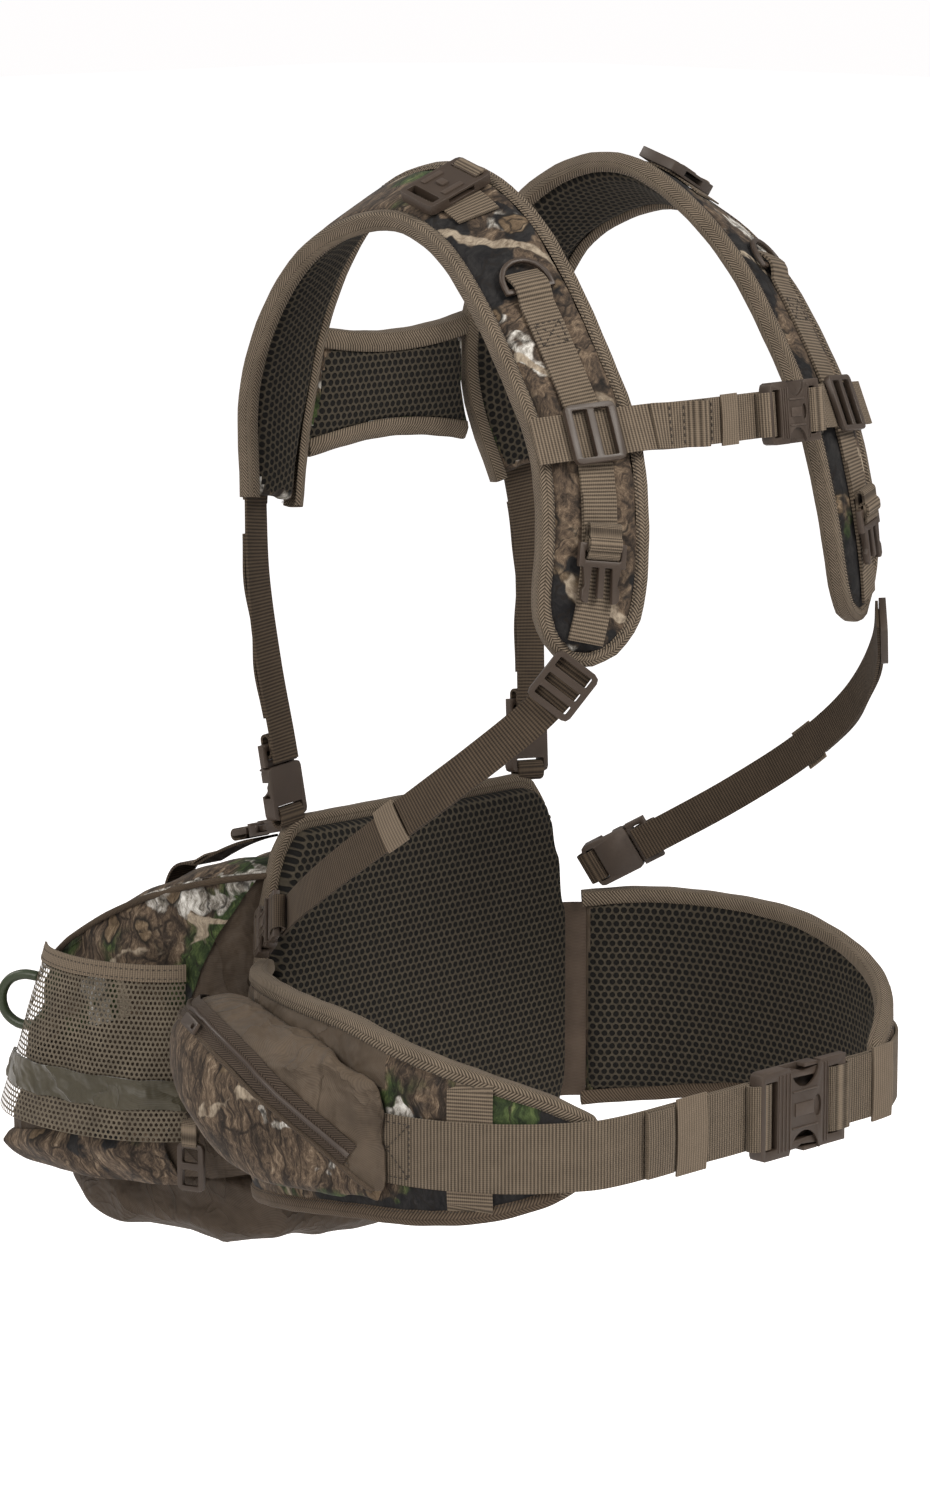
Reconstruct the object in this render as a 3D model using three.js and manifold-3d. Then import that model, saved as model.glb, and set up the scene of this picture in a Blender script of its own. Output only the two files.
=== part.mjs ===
// Hunting lumbar pack with a padded shoulder harness, worn round the waist and over the shoulders.
// Millimetres, +Z up. The wearer faces -Y; "right" and "left" are the wearer's, so right is -X.
// The origin is on the wearer's side of the lumbar pad, at belt height, on the middle plane.
import * as THREE from 'three';
import { mergeVertices } from 'three/addons/utils/BufferGeometryUtils.js';
import Module from 'manifold-3d';

const wasm = await Module();
wasm.setup();

// Driving dimensions.
const GAP = 0.3;                  // clearance between pieces that lie on each other
const LAY = 0.7;                  // the same for webbing on a curved pad
const BACK_PLANE = 124;           // middle of the wearer's waist to the lumbar pad's face
const BELT_WEB = 38;              // webbing widths
const CHEST_WEB = 25;
const STRAP_WEB = 20;
const WEB_THICK = 1.6;
const PLATE = 3.4;                // thickness of the moulded sliders
const BELT_HEIGHT = 17;           // height of the belt's centre line
const CHEST_HEIGHT = 396;         // height of the sternum strap
const RING_HEIGHT = 468;          // heights of what else is on the front of the pad
const CLIP_HEIGHT = 330;
const WEBBING_END = 292;
const HOLDER_AT = 0.475;          // share of the pad's length where the holder buckle lies
const PAD_HALF_WIDTH = 30;        // shoulder pad
const PAD_FACE = 7;               // foam and face fabric, outside the pad's middle surface
const PAD_LINING = 6;             // spacer mesh, on the wearer's side of it
const WING_THICK = 13;            // hip wing
const PANEL_MESH = 4;             // spacer mesh on the lumbar pad
const PANEL_FOAM = 13;
const BAG_WALL = 2.5;
const CHEST_MOUTH_X = 46;         // where the two middle buckles' mouths are
const BELT_MOUTH_X = 48;
const PANEL_TOP = 158;
const PANEL_BOTTOM = -66;
const SIDES = { right: -1, left: 1 };

// Finishes.
const finish = (colour, roughness, metalness = 0) =>
  new THREE.MeshStandardMaterial({ color: colour, roughness, metalness });
const FINISH = {
  camo: () => finish(0x6b5f4a, 0.9),
  webbing: () => finish(0x776757, 0.85),
  strap: () => finish(0x4f4136, 0.85),
  plastic: () => finish(0x4a3b33, 0.45),
  nylon: () => finish(0x54453a, 0.75),
  mesh: () => finish(0x6d6049, 0.9),
  spacer: () => finish(0x3a332a, 0.95),
  olive: () => finish(0x4b5a3c, 0.5),
};

const object = new THREE.Group();
object.position.y = -BACK_PLANE;

function add(name, geometry, material) {
  const mesh = new THREE.Mesh(geometry, material);
  mesh.name = name;
  object.add(mesh);
  return mesh;
}

const vector = (x, y, z) => new THREE.Vector3(x, y, z);
const mirror = (sign, rows) =>
  rows.map(([x, y, z, nx, ny, nz]) => [sign * x, y, z, sign * nx, ny, nz]);

// A closed solid through a row of rings, each ring a list of the same number of points.
function loft(rings, endless = false) {
  const count = rings[0].length;
  const points = rings.flat();
  const faces = [];
  const steps = endless ? rings.length : rings.length - 1;
  for (let r = 0; r < steps; r++) {
    const next = (r + 1) % rings.length;
    for (let i = 0; i < count; i++) {
      const j = (i + 1) % count;
      const [a, b, c, d] = [r * count + i, r * count + j, next * count + j, next * count + i];
      // The upper and lower faces are split along the same diagonal, so that layers nest.
      if (i < count / 2) faces.push(a, b, c, a, c, d);
      else faces.push(a, b, d, b, c, d);
    }
  }
  if (!endless) {
    for (const r of [0, rings.length - 1]) {
      const middle = rings[r].reduce((sum, p) => sum.add(p), vector(0, 0, 0)).divideScalar(count);
      points.push(middle);
      for (let i = 0; i < count; i++) {
        const edge = [r * count + i, r * count + ((i + 1) % count)];
        if (r === 0) edge.reverse();
        faces.push(points.length - 1, ...edge);
      }
    }
  }
  let volume = 0;
  for (let f = 0; f < faces.length; f += 3) {
    const [a, b, c] = faces.slice(f, f + 3).map((k) => points[k]);
    volume += a.dot(b.clone().cross(c));
  }
  if (volume < 0) {
    for (let f = 0; f < faces.length; f += 3) [faces[f], faces[f + 1]] = [faces[f + 1], faces[f]];
  }
  const geometry = new THREE.BufferGeometry();
  const numbers = points.flatMap((p) => [p.x, p.y, p.z]);
  geometry.setAttribute('position', new THREE.Float32BufferAttribute(numbers, 3));
  geometry.setIndex(faces);
  return geometry;
}

// A smooth line on a surface, from rows of place and outward normal.
function track(rows) {
  const line = new THREE.CatmullRomCurve3(rows.map((row) => vector(row[0], row[1], row[2])));
  const normals = new THREE.CatmullRomCurve3(rows.map((row) => vector(row[3], row[4], row[5])));
  return (u) => {
    const along = line.getTangentAt(u);
    const normal = normals.getPoint(line.getUtoTmapping(u));
    normal.addScaledVector(along, -normal.dot(along)).normalize();
    return { at: line.getPointAt(u), along, normal, across: along.clone().cross(normal) };
  };
}

const lifted = (spot, lift, across = 0) =>
  spot.at.clone().addScaledVector(spot.normal, lift).addScaledVector(spot.across, across);

// A strap's square section, or a pad's section with its edges taken off.
function section(spot, half, low, high, chamfer = 0) {
  const rise = Math.min(chamfer, (high - low) * 0.35);
  const corners = chamfer
    ? [[half, low + rise], [half, high - rise], [half - chamfer, high], [chamfer - half, high],
      [-half, high - rise], [-half, low + rise], [chamfer - half, low], [half - chamfer, low]]
    : [[half, low], [half, high], [-half, high], [-half, low]];
  return corners.map(([across, lift]) => lifted(spot, lift, across));
}

const spread = (from, to, steps) =>
  Array.from({ length: steps + 1 }, (_, i) => from + ((to - from) * i) / steps);

function ribbon(path, width, from = 0, to = 1, steps = 12, lift = 0) {
  const half = width / 2;
  return loft(spread(from, to, steps).map((u) => section(path(u), half, lift, lift + WEB_THICK)));
}

// Turns a mesh so that its X runs along one direction and its Z along another, and sets it down.
function place(mesh, at, along, normal) {
  const x = along.clone().normalize();
  const z = normal.clone().addScaledVector(x, -normal.dot(x)).normalize();
  mesh.setRotationFromMatrix(new THREE.Matrix4().makeBasis(x, z.clone().cross(x), z));
  mesh.position.copy(at);
  return mesh;
}

function roundedPlan(shape, left, right, half, radius) {
  shape.moveTo(left + radius, -half);
  shape.lineTo(right - radius, -half);
  shape.absarc(right - radius, -half + radius, radius, -Math.PI / 2, 0);
  shape.absarc(right - radius, half - radius, radius, 0, Math.PI / 2);
  shape.absarc(left + radius, half - radius, radius, Math.PI / 2, Math.PI);
  shape.absarc(left + radius, -half + radius, radius, Math.PI, Math.PI * 1.5);
  shape.closePath();
  return shape;
}

function extrude(shape, thickness, low = 0, curveSegments = 1) {
  const geometry = new THREE.ExtrudeGeometry(shape, { depth: thickness, bevelEnabled: false, curveSegments });
  return geometry.translate(0, 0, low);
}

// A flat moulded frame with slots for webbing, each slot given as [left, right].
function slottedPlate(left, right, width, thickness, slotWidth, slots, low = 0, radius = 3) {
  const shape = roundedPlan(new THREE.Shape(), left, right, width / 2, radius);
  for (const [from, to] of slots) {
    shape.holes.push(roundedPlan(new THREE.Path(), from, to, slotWidth / 2, 0.8));
  }
  return extrude(shape, thickness, low);
}

function solid(geometry) {
  const bare = geometry.clone();
  bare.deleteAttribute('normal');
  bare.deleteAttribute('uv');
  const merged = mergeVertices(bare, 1e-4);
  return new wasm.Manifold(new wasm.Mesh({
    numProp: 3,
    vertProperties: new Float32Array(merged.attributes.position.array),
    triVerts: new Uint32Array(merged.index.array),
  }));
}

function meshed(body) {
  const mesh = body.getMesh();
  const geometry = new THREE.BufferGeometry();
  geometry.setAttribute('position', new THREE.BufferAttribute(mesh.vertProperties, 3));
  geometry.setIndex(new THREE.BufferAttribute(mesh.triVerts, 1));
  return geometry;
}

const block = (x, y, z) => solid(new THREE.BoxGeometry(x[1] - x[0], y[1] - y[0], z[1] - z[0])
  .translate((x[0] + x[1]) / 2, (y[0] + y[1]) / 2, (z[0] + z[1]) / 2));

// Side-release buckles. X = 0 is the socket's mouth, the socket lies on -X and the insert on +X.
// The webbing passes under both halves, STRAP_DROP below the buckle's own plane.
const STRAP_DROP = 3.4;
const buckleSizes = (web) => {
  const length = web === CHEST_WEB ? 42 : 12 + 1.6 * web;
  return {
    socket: 0.7 * length,
    base: 0.3 * length,
    half: 0.625 * web + 1.2,
    reach: 0.42 * length,
    tongue: 2.1 + 0.076 * web,
  };
};

function buckleSocket(web) {
  const size = buckleSizes(web);
  const floor = -1.5;
  const roof = 0.9 + size.tongue + 1.6;
  const slot = [-0.93 * size.socket, -0.74 * size.socket];
  const shell = solid(slottedPlate(-size.socket, 0, 2 * size.half, roof - floor, web + 1, [slot], floor));
  const cavity = block([-size.reach - 1, 1], [2 - size.half, size.half - 2], [0.1, 0.9 + size.tongue]);
  const windows = block([-0.95 * size.reach, -0.45 * size.reach], [-size.half - 1, size.half + 1],
    [0.1, 0.9 + size.tongue]);
  return meshed(shell.subtract(cavity).subtract(windows));
}

function buckleInsert(web) {
  const size = buckleSizes(web);
  const wall = size.half - 2.6;
  const tip = -size.reach;
  const outline = [
    [GAP, -size.half], [size.base, -size.half], [size.base, size.half], [GAP, size.half],
    [GAP, wall], [0.5 * tip, wall - 1.5], [0.62 * tip, wall], [0.9 * tip, wall], [tip, wall - 2],
    [tip, wall - 4], [0.3 * tip, wall - 4.6], [GAP, wall - 5], [GAP, 1.8],
    [0.85 * tip, 1.8], [0.85 * tip, -1.8], [GAP, -1.8], [GAP, 5 - wall], [0.3 * tip, 4.6 - wall],
    [tip, 4 - wall], [tip, 2 - wall], [0.9 * tip, -wall], [0.62 * tip, -wall], [0.5 * tip, 1.5 - wall],
    [GAP, -wall],
  ];
  const shape = new THREE.Shape(outline.map(([x, y]) => new THREE.Vector2(x, y)));
  shape.holes.push(roundedPlan(new THREE.Path(), 0.3 * size.base, 0.72 * size.base, (web + 1) / 2, 0.8));
  return extrude(shape, size.tongue, 0.5);
}

// One buckle on two straps: "mouth" is the spot on the webbing's middle surface under the mouth.
function addBuckle(name, web, mouth, along, normal) {
  const at = mouth.clone().addScaledVector(normal.clone().normalize(), STRAP_DROP);
  place(add(`${name}_socket`, buckleSocket(web), FINISH.plastic()), at, along, normal);
  place(add(`${name}_insert`, buckleInsert(web), FINISH.plastic()), at, along, normal);
}

// The shoulder pad's middle surface: up the back, over the shoulder and down the chest.
const SHOULDER_ROWS = [
  [104, 144, 342, 0.25, 1, -0.05],
  [94, 151, 392, 0.2, 1, 0.05],
  [88, 142, 442, 0.22, 0.93, 0.3],
  [86, 114, 486, 0.3, 0.7, 0.65],
  [88, 76, 510, 0.42, 0.3, 0.87],
  [87, 32, 517, 0.42, -0.05, 0.9],
  [89, -8, 501, 0.36, -0.45, 0.8],
  [94, -42, 471, 0.32, -0.7, 0.6],
  [96, -69, 434, 0.3, -0.82, 0.46],
  [97, -91, 395, 0.3, -0.9, 0.3],
  [101, -101, 355, 0.32, -0.94, 0.1],
  [107, -104, 315, 0.36, -0.93, 0.0],
  [114, -101, 281, 0.42, -0.9, -0.06],
];

// The spot on the front of the pad at one height.
function spotAtHeight(path, height) {
  let [low, high] = [0.5, 1];
  for (let i = 0; i < 30; i++) {
    const middle = (low + high) / 2;
    if (path(middle).at.z > height) low = middle;
    else high = middle;
  }
  return low;
}

function padWidth(u) {
  const tip = Math.min(1, Math.sqrt(Math.max(0, 1 - ((u - 0.93) / 0.0705) ** 2)));
  return PAD_HALF_WIDTH * (u > 0.93 ? Math.max(0.22, tip) : 1) * (u < 0.12 ? 0.8 + (0.2 * u) / 0.12 : 1);
}

const padSteps = [...spread(0, 0.93, 27), 0.96, 0.985, 1];
const padLayer = (path, low, high, inset) =>
  loft(padSteps.map((u) => section(path(u), padWidth(u) - inset, low, high, 3)));

function chestSlider() {
  return slottedPlate(-15, 15, 32, PLATE, CHEST_WEB + 1, [[-11, -2], [2, 11]]);
}

function ladderLock() {
  return slottedPlate(-4, 26, 27, 4, STRAP_WEB + 1, [[-1, 5], [9, 14], [17.5, 22.5]], 0, 3.5);
}

function dRing() {
  const shape = new THREE.Shape();
  shape.moveTo(-2, -15.2);
  shape.lineTo(4, -15.2);
  shape.absarc(4, 0, 15.2, -Math.PI / 2, Math.PI / 2);
  shape.lineTo(-2, 15.2);
  shape.closePath();
  const hole = new THREE.Path();
  hole.moveTo(1.2, -12.2);
  hole.lineTo(4, -12.2);
  hole.absarc(4, 0, 12.2, -Math.PI / 2, Math.PI / 2);
  hole.lineTo(1.2, 12.2);
  hole.closePath();
  shape.holes.push(hole);
  return extrude(shape, 3, 0, 6);
}

// The side strap's line from the ladder lock round the ribs to the lumbar pad's upper corner.
const SIDE_ROWS = [
  [119, -112, 284, 0.62, -0.78, 0.1],
  [135, -98, 258, 0.72, -0.68, 0.1],
  [158, -62, 221, 0.88, -0.45, 0.15],
  [168, -18, 187, 0.99, -0.08, 0.1],
  [165, 32, 154, 0.97, 0.2, 0.1],
  [153, 75, 127, 0.85, 0.5, 0.1],
  [136, 108, 106, 0.8, 0.6, 0.1],
  [126, 123, 97, 0.8, 0.6, 0.1],
];

// From the pad's rear end down the back to the lumbar pad's top edge.
const REAR_ROWS = [
  [105, 156, 346, 0.25, 1, -0.05],
  [109, 150, 300, 0.2, 1, -0.1],
  [106, 145, 250, 0.1, 1, -0.15],
  [101, 139, 205, 0.1, 1, -0.2],
  [97, 133, 156, 0, 1, -0.2],
];

// Over the lid, from the lumbar pad's top edge to the bag's back.
const LID_ROWS = [
  [67, 150, 144, 0, 0.2, 1],
  [67, 175, 140, 0, 0.25, 1],
  [67, 205, 132, 0, 0.35, 1],
  [67, 240, 115, 0, 0.55, 0.9],
  [67, 275, 90, 0, 0.8, 0.7],
  [67, 308, 56, 0, 0.95, 0.35],
];

function addHarness(side, sign) {
  const pad = track(mirror(sign, SHOULDER_ROWS));
  add(`shoulder_pad_${side}`, padLayer(pad, GAP / 2, PAD_FACE, 0), FINISH.camo());
  add(`shoulder_lining_${side}`, padLayer(pad, -PAD_LINING, -GAP / 2, 1.5), FINISH.spacer());

  // Webbing down the front of the pad, humped over the bar of the D-ring.
  const ringAt = spotAtHeight(pad, RING_HEIGHT);
  const top = ringAt - 0.018;
  const end = spotAtHeight(pad, WEBBING_END);
  const hump = (u) => (Math.abs(u - ringAt) < 0.012 ? 4.2 : 0);
  const webSteps = [top, ringAt - 0.015, ringAt - 0.01, ringAt + 0.01, ringAt + 0.015, end,
    ...padSteps.filter((u) => u > top && u < end)].sort((a, b) => a - b);
  add(`shoulder_webbing_${side}`, loft(webSteps.map((u) => {
    const low = PAD_FACE + LAY + hump(u);
    return section(pad(u), STRAP_WEB / 2, low, low + WEB_THICK);
  })), FINISH.webbing());

  const ring = pad(ringAt);
  place(add(`d_ring_${side}`, dRing(), FINISH.plastic()),
    lifted(ring, PAD_FACE + LAY + 0.4), ring.along.clone().negate(), ring.normal);

  const slider = pad(spotAtHeight(pad, CHEST_HEIGHT));
  place(add(`chest_slider_${side}`, chestSlider(), FINISH.plastic()),
    lifted(slider, PAD_FACE + LAY + 2 * WEB_THICK + 2 * GAP + 0.5), slider.across, slider.normal);

  const clip = pad(spotAtHeight(pad, CLIP_HEIGHT));
  place(add(`clip_insert_${side}`, buckleInsert(STRAP_WEB), FINISH.plastic()),
    lifted(clip, PAD_FACE + LAY + WEB_THICK + 0.6), clip.along.clone().negate(), clip.normal);

  // A release buckle kept on a short tab on top of the shoulder.
  const holder = pad(HOLDER_AT);
  const holderBody = solid(slottedPlate(-22, 22, 27, 6, STRAP_WEB + 1, [[-18.6, -12.7], [12.7, 18.6]]));
  place(add(`holder_buckle_${side}`, meshed(holderBody.subtract(block([-9, 9], [-14, 14], [1.5, 4.5]))),
    FINISH.plastic()), lifted(holder, PAD_FACE + 1.2), holder.across, holder.normal);

  const sideLine = track(mirror(sign, SIDE_ROWS));
  add(`side_strap_${side}`, ribbon(sideLine, STRAP_WEB, 0.01, 0.875, 20), FINISH.strap());
  const lock = sideLine(0.02);
  place(add(`ladder_lock_${side}`, ladderLock(), FINISH.plastic()),
    lifted(lock, WEB_THICK + GAP + 0.3), lock.along, lock.normal);
  const sideMouth = sideLine(0.885);
  addBuckle(`side_${side}`, STRAP_WEB, lifted(sideMouth, WEB_THICK / 2),
    sideMouth.along.clone().negate(), sideMouth.normal);

  const rearLine = track(mirror(sign, REAR_ROWS));
  add(`rear_strap_${side}`, ribbon(rearLine, STRAP_WEB, 0, 0.8, 8), FINISH.strap());
  const rearMouth = rearLine(0.81);
  addBuckle(`rear_${side}`, STRAP_WEB, lifted(rearMouth, WEB_THICK / 2),
    rearMouth.along.clone().negate(), rearMouth.normal);

  const lidLine = track(mirror(sign, LID_ROWS));
  add(`lid_strap_${side}`, ribbon(lidLine, STRAP_WEB, 0.23, 1, 9), FINISH.strap());
  const lidMouth = lidLine(0.23);
  addBuckle(`lid_${side}`, STRAP_WEB, lifted(lidMouth, WEB_THICK / 2), lidMouth.along, lidMouth.normal);
}

// The hip wing's inner face: place in plan, and the wing's bottom and top there.
const WING_ROWS = [
  [125.5, 120, -46, 84],
  [151, 97, -44, 86],
  [171, 50, -36, 86],
  [177, 0, -28, 83],
  [173, -44, -24, 72],
  [157, -78, -19, 61],
  [136, -100, -10, 50],
  [114, -113, 4, 36],
];

// The pocket on it: share of the wing's length, bottom, top and depth.
const POCKET_ROWS = [
  [0.07, 26, 70, 36],
  [0.15, 2, 82, 47],
  [0.28, -16, 83, 46],
  [0.4, -23, 80, 36],
  [0.5, -24, 76, 24],
  [0.58, -22, 68, 11],
  [0.64, -19, 52, 3],
];

// The belt's line ahead of the wing, as far as the other side of the buckle.
const BELT_FRONT = [[104, -127.4], [85, -128], [60, -127.6], [20, -127.2], [-20, -127]];

const wingSteps = spread(0, 1, 20);

function wingSpots(sign) {
  const plan = new THREE.CatmullRomCurve3(WING_ROWS.map(([x, y]) => vector(sign * x, y, 0)));
  const edges = new THREE.CatmullRomCurve3(WING_ROWS.map(([, , low, high]) => vector(low, high, 0)));
  return (u) => {
    const along = plan.getTangentAt(u);
    const normal = vector(-along.y * sign, along.x * sign, 0);
    const edge = edges.getPoint(plan.getUtoTmapping(u));
    return { at: plan.getPointAt(u), normal, low: edge.x, high: edge.y };
  };
}

// An upright section, from rows of distance out from the wing's inner face and height.
const upright = (spot, rows) => rows.map(([out, z]) =>
  spot.at.clone().addScaledVector(spot.normal, out).setZ(z));

function wing(spot) {
  return loft(wingSteps.map((u) => {
    const { low, high } = spot(u);
    return upright(spot(u), [[0, low + 3], [0, high - 3], [3, high], [WING_THICK - 4, high],
      [WING_THICK, high - 6], [WING_THICK, low + 6], [WING_THICK - 4, low], [3, low]]);
  }));
}

function hipPocket(spot) {
  const back = WING_THICK + GAP;
  const sizeRows = POCKET_ROWS.map(([, low, high, depth]) => vector(low, high, depth));
  const sizes = new THREE.CatmullRomCurve3(sizeRows);
  const [first, last] = [POCKET_ROWS[0][0], POCKET_ROWS.at(-1)[0]];
  const steps = [first, ...wingSteps.filter((u) => u > first && u < last), last];
  return loft(steps.map((u) => {
    const { x: low, y: high, z: depth } = sizes.getPoint((u - first) / (last - first));
    const tall = high - low;
    return upright(spot(u), [[back, low + 2], [back, high - 2], [back + 0.3 * depth, high],
      [back + 0.72 * depth, high - 0.08 * tall], [back + depth, high - 0.3 * tall],
      [back + depth, low + 0.35 * tall], [back + 0.7 * depth, low + 0.08 * tall], [back + 0.3 * depth, low]]);
  }));
}

function beltStrap(spot, sign, endX) {
  const wingPart = wingSteps.filter((u) => u > 0.66).map(spot).map(({ at, normal }) =>
    ({ at: at.clone().addScaledVector(normal, WING_THICK + GAP), normal }));
  const front = BELT_FRONT.filter(([x]) => x > sign * endX)
    .map(([x, y]) => ({ at: vector(sign * x, y, 0), normal: vector(0, -1, 0) }));
  front.push({ at: vector(endX, BELT_FRONT.at(-1)[1], 0), normal: vector(0, -1, 0) });
  front[0].normal = vector(sign * 0.25, -0.97, 0);
  return loft([...wingPart, ...front].map((place) => upright(place, [
    [0, BELT_HEIGHT + BELT_WEB / 2], [WEB_THICK, BELT_HEIGHT + BELT_WEB / 2],
    [WEB_THICK, BELT_HEIGHT - BELT_WEB / 2], [0, BELT_HEIGHT - BELT_WEB / 2]])));
}

function sternumStrap(sign, endX) {
  const pad = track(mirror(sign, SHOULDER_ROWS));
  const spot = pad(spotAtHeight(pad, CHEST_HEIGHT));
  const lift = PAD_FACE + LAY + WEB_THICK + GAP + 0.2;
  const onPad = [-34, -12, 12, 33].map((inward) =>
    ({ at: lifted(spot, lift, sign * inward), normal: spot.normal }));
  const padEdge = lifted(spot, lift, sign * 33);
  const front = [50, endX * sign].map((x) =>
    ({ at: vector(sign * x, padEdge.y - 3, padEdge.z), normal: vector(0, -1, 0.1).normalize() }));
  const rows = [...onPad, ...front];
  const geometry = loft(rows.map(({ at, normal }) => {
    const up = vector(0, 0, 1).addScaledVector(normal, -normal.z).normalize();
    return [[-1, 0], [-1, WEB_THICK], [1, WEB_THICK], [1, 0]].map(([half, out]) =>
      at.clone().addScaledVector(up, (half * CHEST_WEB) / 2).addScaledVector(normal, out));
  }));
  return { end: rows.at(-1), geometry };
}

// The lumbar pad's outline, seen from behind, and a slab of it between two depths.
const PANEL_HALF = [[100, PANEL_BOTTOM], [114, -58], [121, -38], [122, 70], [118, 106], [108, 140],
  [98, 154], [90, PANEL_TOP]];

function panelSlab(front, back) {
  const outline = [...PANEL_HALF, ...PANEL_HALF.slice().reverse().map(([x, z]) => [-x, z])];
  const shape = new THREE.Shape(outline.map(([x, z]) => new THREE.Vector2(x, z)));
  return extrude(shape, back - front).rotateX(Math.PI / 2).translate(0, back, 0);
}

// The bag, in plan from its front middle round to its back middle, and the slope of its top and bottom.
const BAG_FRONT = 142;
const BAG_HALF = [[60, BAG_FRONT], [116, BAG_FRONT], [130, 152], [147, 175], [162, 205], [169, 242],
  [170, 280], [163, 313], [138, 330], [95, 335], [40, 336]];
const BAG_MIDDLE = 225;
const LID_WIDE = 0.94;
const LID_DEEP = 0.83;
const LID_MIDDLE = BAG_MIDDLE - 10;
const bagTop = (y) => 126 - 80 * (Math.max(0, y - BAG_FRONT) / 158) ** 1.6;
const bagBottom = (y) => -48 - (15 * (y - BAG_FRONT)) / 190;

function bagRing(wide, deep, height) {
  const half = BAG_HALF.map(([x, y]) => [x * wide, BAG_FRONT + (y - BAG_FRONT) * deep]);
  const outline = [...half, ...half.slice().reverse().map(([x, y]) => [-x, y])];
  return outline.map(([x, y]) => vector(x, y, height(y)));
}

function bagBody() {
  const middleOf = (share) => (y) => bagBottom(y) + share * (bagTop(y) - bagBottom(y));
  const outer = [[0.94, 0.98, 0], [1, 1, 0.12], [0.98, 0.95, 0.5], [LID_WIDE, LID_DEEP, 1]]
    .map(([wide, deep, share]) => bagRing(wide, deep, middleOf(share)));
  const inward = (ring, drop = 0) => ring.map((p) =>
    vector(p.x * 0.97, BAG_MIDDLE + (p.y - BAG_MIDDLE) * 0.965, p.z + drop));
  const inner = outer.slice(1).reverse().map((ring) => inward(ring));
  return loft([...outer, ...inner, inward(outer[0], BAG_WALL)]);
}

function bagLid() {
  const rings = [[0.35, 11.5], [0.75, 11.5], [0.92, 9.5], [0.985, 5], [1, GAP], [0.95, 2],
    [0.88, 5.5], [0.7, 8], [0.35, 8]];
  return loft(rings.map(([share, rise]) => bagRing(LID_WIDE, LID_DEEP, bagTop).map((p) => {
    const y = LID_MIDDLE + (p.y - LID_MIDDLE) * share;
    return vector(p.x * share, y, bagTop(y) + rise);
  })));
}

const BASE_SHIFT = 6;
const BASE_DEEP = 48;

function basePouch() {
  const rings = [[0.55, 0.6, 1], [0.72, 0.86, 0.8], [0.78, 0.93, 0.35], [0.78, 0.93, 0]];
  return loft(rings.map(([wide, deep, drop]) => {
    const height = (y) => bagBottom(y + BASE_SHIFT) - GAP - BASE_DEEP * drop;
    return bagRing(wide, deep, height).map((p) => p.setY(p.y + BASE_SHIFT));
  }));
}

// The side pocket's mesh wall stands off the bag's side between two seams.
const MESH_POCKET = { bottom: -26, top: 76, bulge: 14, thick: 1.5 };
const MESH_SIDE = {
  bottom: [[148, 170], [163, 202], [171, 240], [172, 282], [163, 317]],
  top: [[145, 174], [155, 199], [161, 228], [160, 258], [151, 283]],
};

function meshPocket(sign) {
  const edge = (rows) => new THREE.CatmullRomCurve3(rows.map(([x, y]) => vector(sign * x, y, 0)));
  const [bottom, top] = [edge(MESH_SIDE.bottom), edge(MESH_SIDE.top)];
  return loft(spread(0, 1, 14).map((t) => {
    const along = bottom.getTangent(t);
    const normal = vector(along.y, -along.x, 0).multiplyScalar(sign);
    const stand = 2.2 + MESH_POCKET.bulge * Math.sin(Math.PI * t) ** 0.7;
    const corner = (line, z, out) => line.getPoint(t).addScaledVector(normal, out).setZ(z);
    return [corner(bottom, MESH_POCKET.bottom, stand), corner(top, MESH_POCKET.top, stand),
      corner(top, MESH_POCKET.top, stand + MESH_POCKET.thick),
      corner(bottom, MESH_POCKET.bottom, stand + MESH_POCKET.thick)];
  }));
}

function addBelt(side, sign) {
  const spot = wingSpots(sign);
  add(`hip_wing_${side}`, wing(spot), FINISH.camo());
  add(`hip_pocket_${side}`, hipPocket(spot), FINISH.nylon());
  const strapEnd = side === 'right' ? BELT_MOUTH_X - 36 : BELT_MOUTH_X + GAP;
  add(`belt_strap_${side}`, beltStrap(spot, sign, strapEnd), FINISH.webbing());

  // The zip's pull lies on the slope between the pocket's top and its outer face.
  const zip = spot(0.2);
  const slope = zip.normal.clone().multiplyScalar(0.82).setZ(0.57);
  const pullAt = zip.at.clone().addScaledVector(zip.normal, WING_THICK + GAP + 40).setZ(68)
    .addScaledVector(slope, 1.6);
  place(add(`zip_pull_${side}`, slottedPlate(0, 20, 7, 2, 3, [[14, 18]], 0, 1.2), FINISH.plastic()),
    pullAt, vector(zip.normal.y * sign, -zip.normal.x * sign, -0.12), slope);

  add(`mesh_pocket_${side}`, meshPocket(sign), FINISH.mesh());
  const slider = slottedPlate(0, 28, 17, PLATE, 10, [[3, 11.5], [15.5, 25]]);
  place(add(`hanging_slider_${side}`, slider, FINISH.plastic()),
    vector(sign * 155, 160, -24), vector(0, 0, -1), vector(sign, -0.35, 0));
}

for (const [side, sign] of Object.entries(SIDES)) {
  addHarness(side, sign);
  addBelt(side, sign);
}

// The yoke holds the two shoulder pads together across the upper back, cut to their inner edges.
const YOKE_ROWS = [
  [-78, 160, 400, -0.12, 1, 0.1],
  [-50, 156.5, 400, -0.06, 1, 0.1],
  [0, 157, 400, 0, 1, 0.1],
  [50, 156.5, 400, 0.06, 1, 0.1],
  [78, 160, 400, 0.12, 1, 0.1],
];
const yokeLine = track(YOKE_ROWS);
const yokeHalf = (u) => 38 - 10 * Math.sin(Math.PI * u);
const yokeCloth = solid(loft(spread(0, 1, 12).map((u) => section(yokeLine(u), yokeHalf(u), -4, 6, 2.5))));
const padRoom = (sign) => solid(padLayer(track(mirror(sign, SHOULDER_ROWS)), -16, 16, -GAP));
add('yoke', meshed(yokeCloth.subtract(padRoom(-1)).subtract(padRoom(1))), FINISH.camo());

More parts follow.
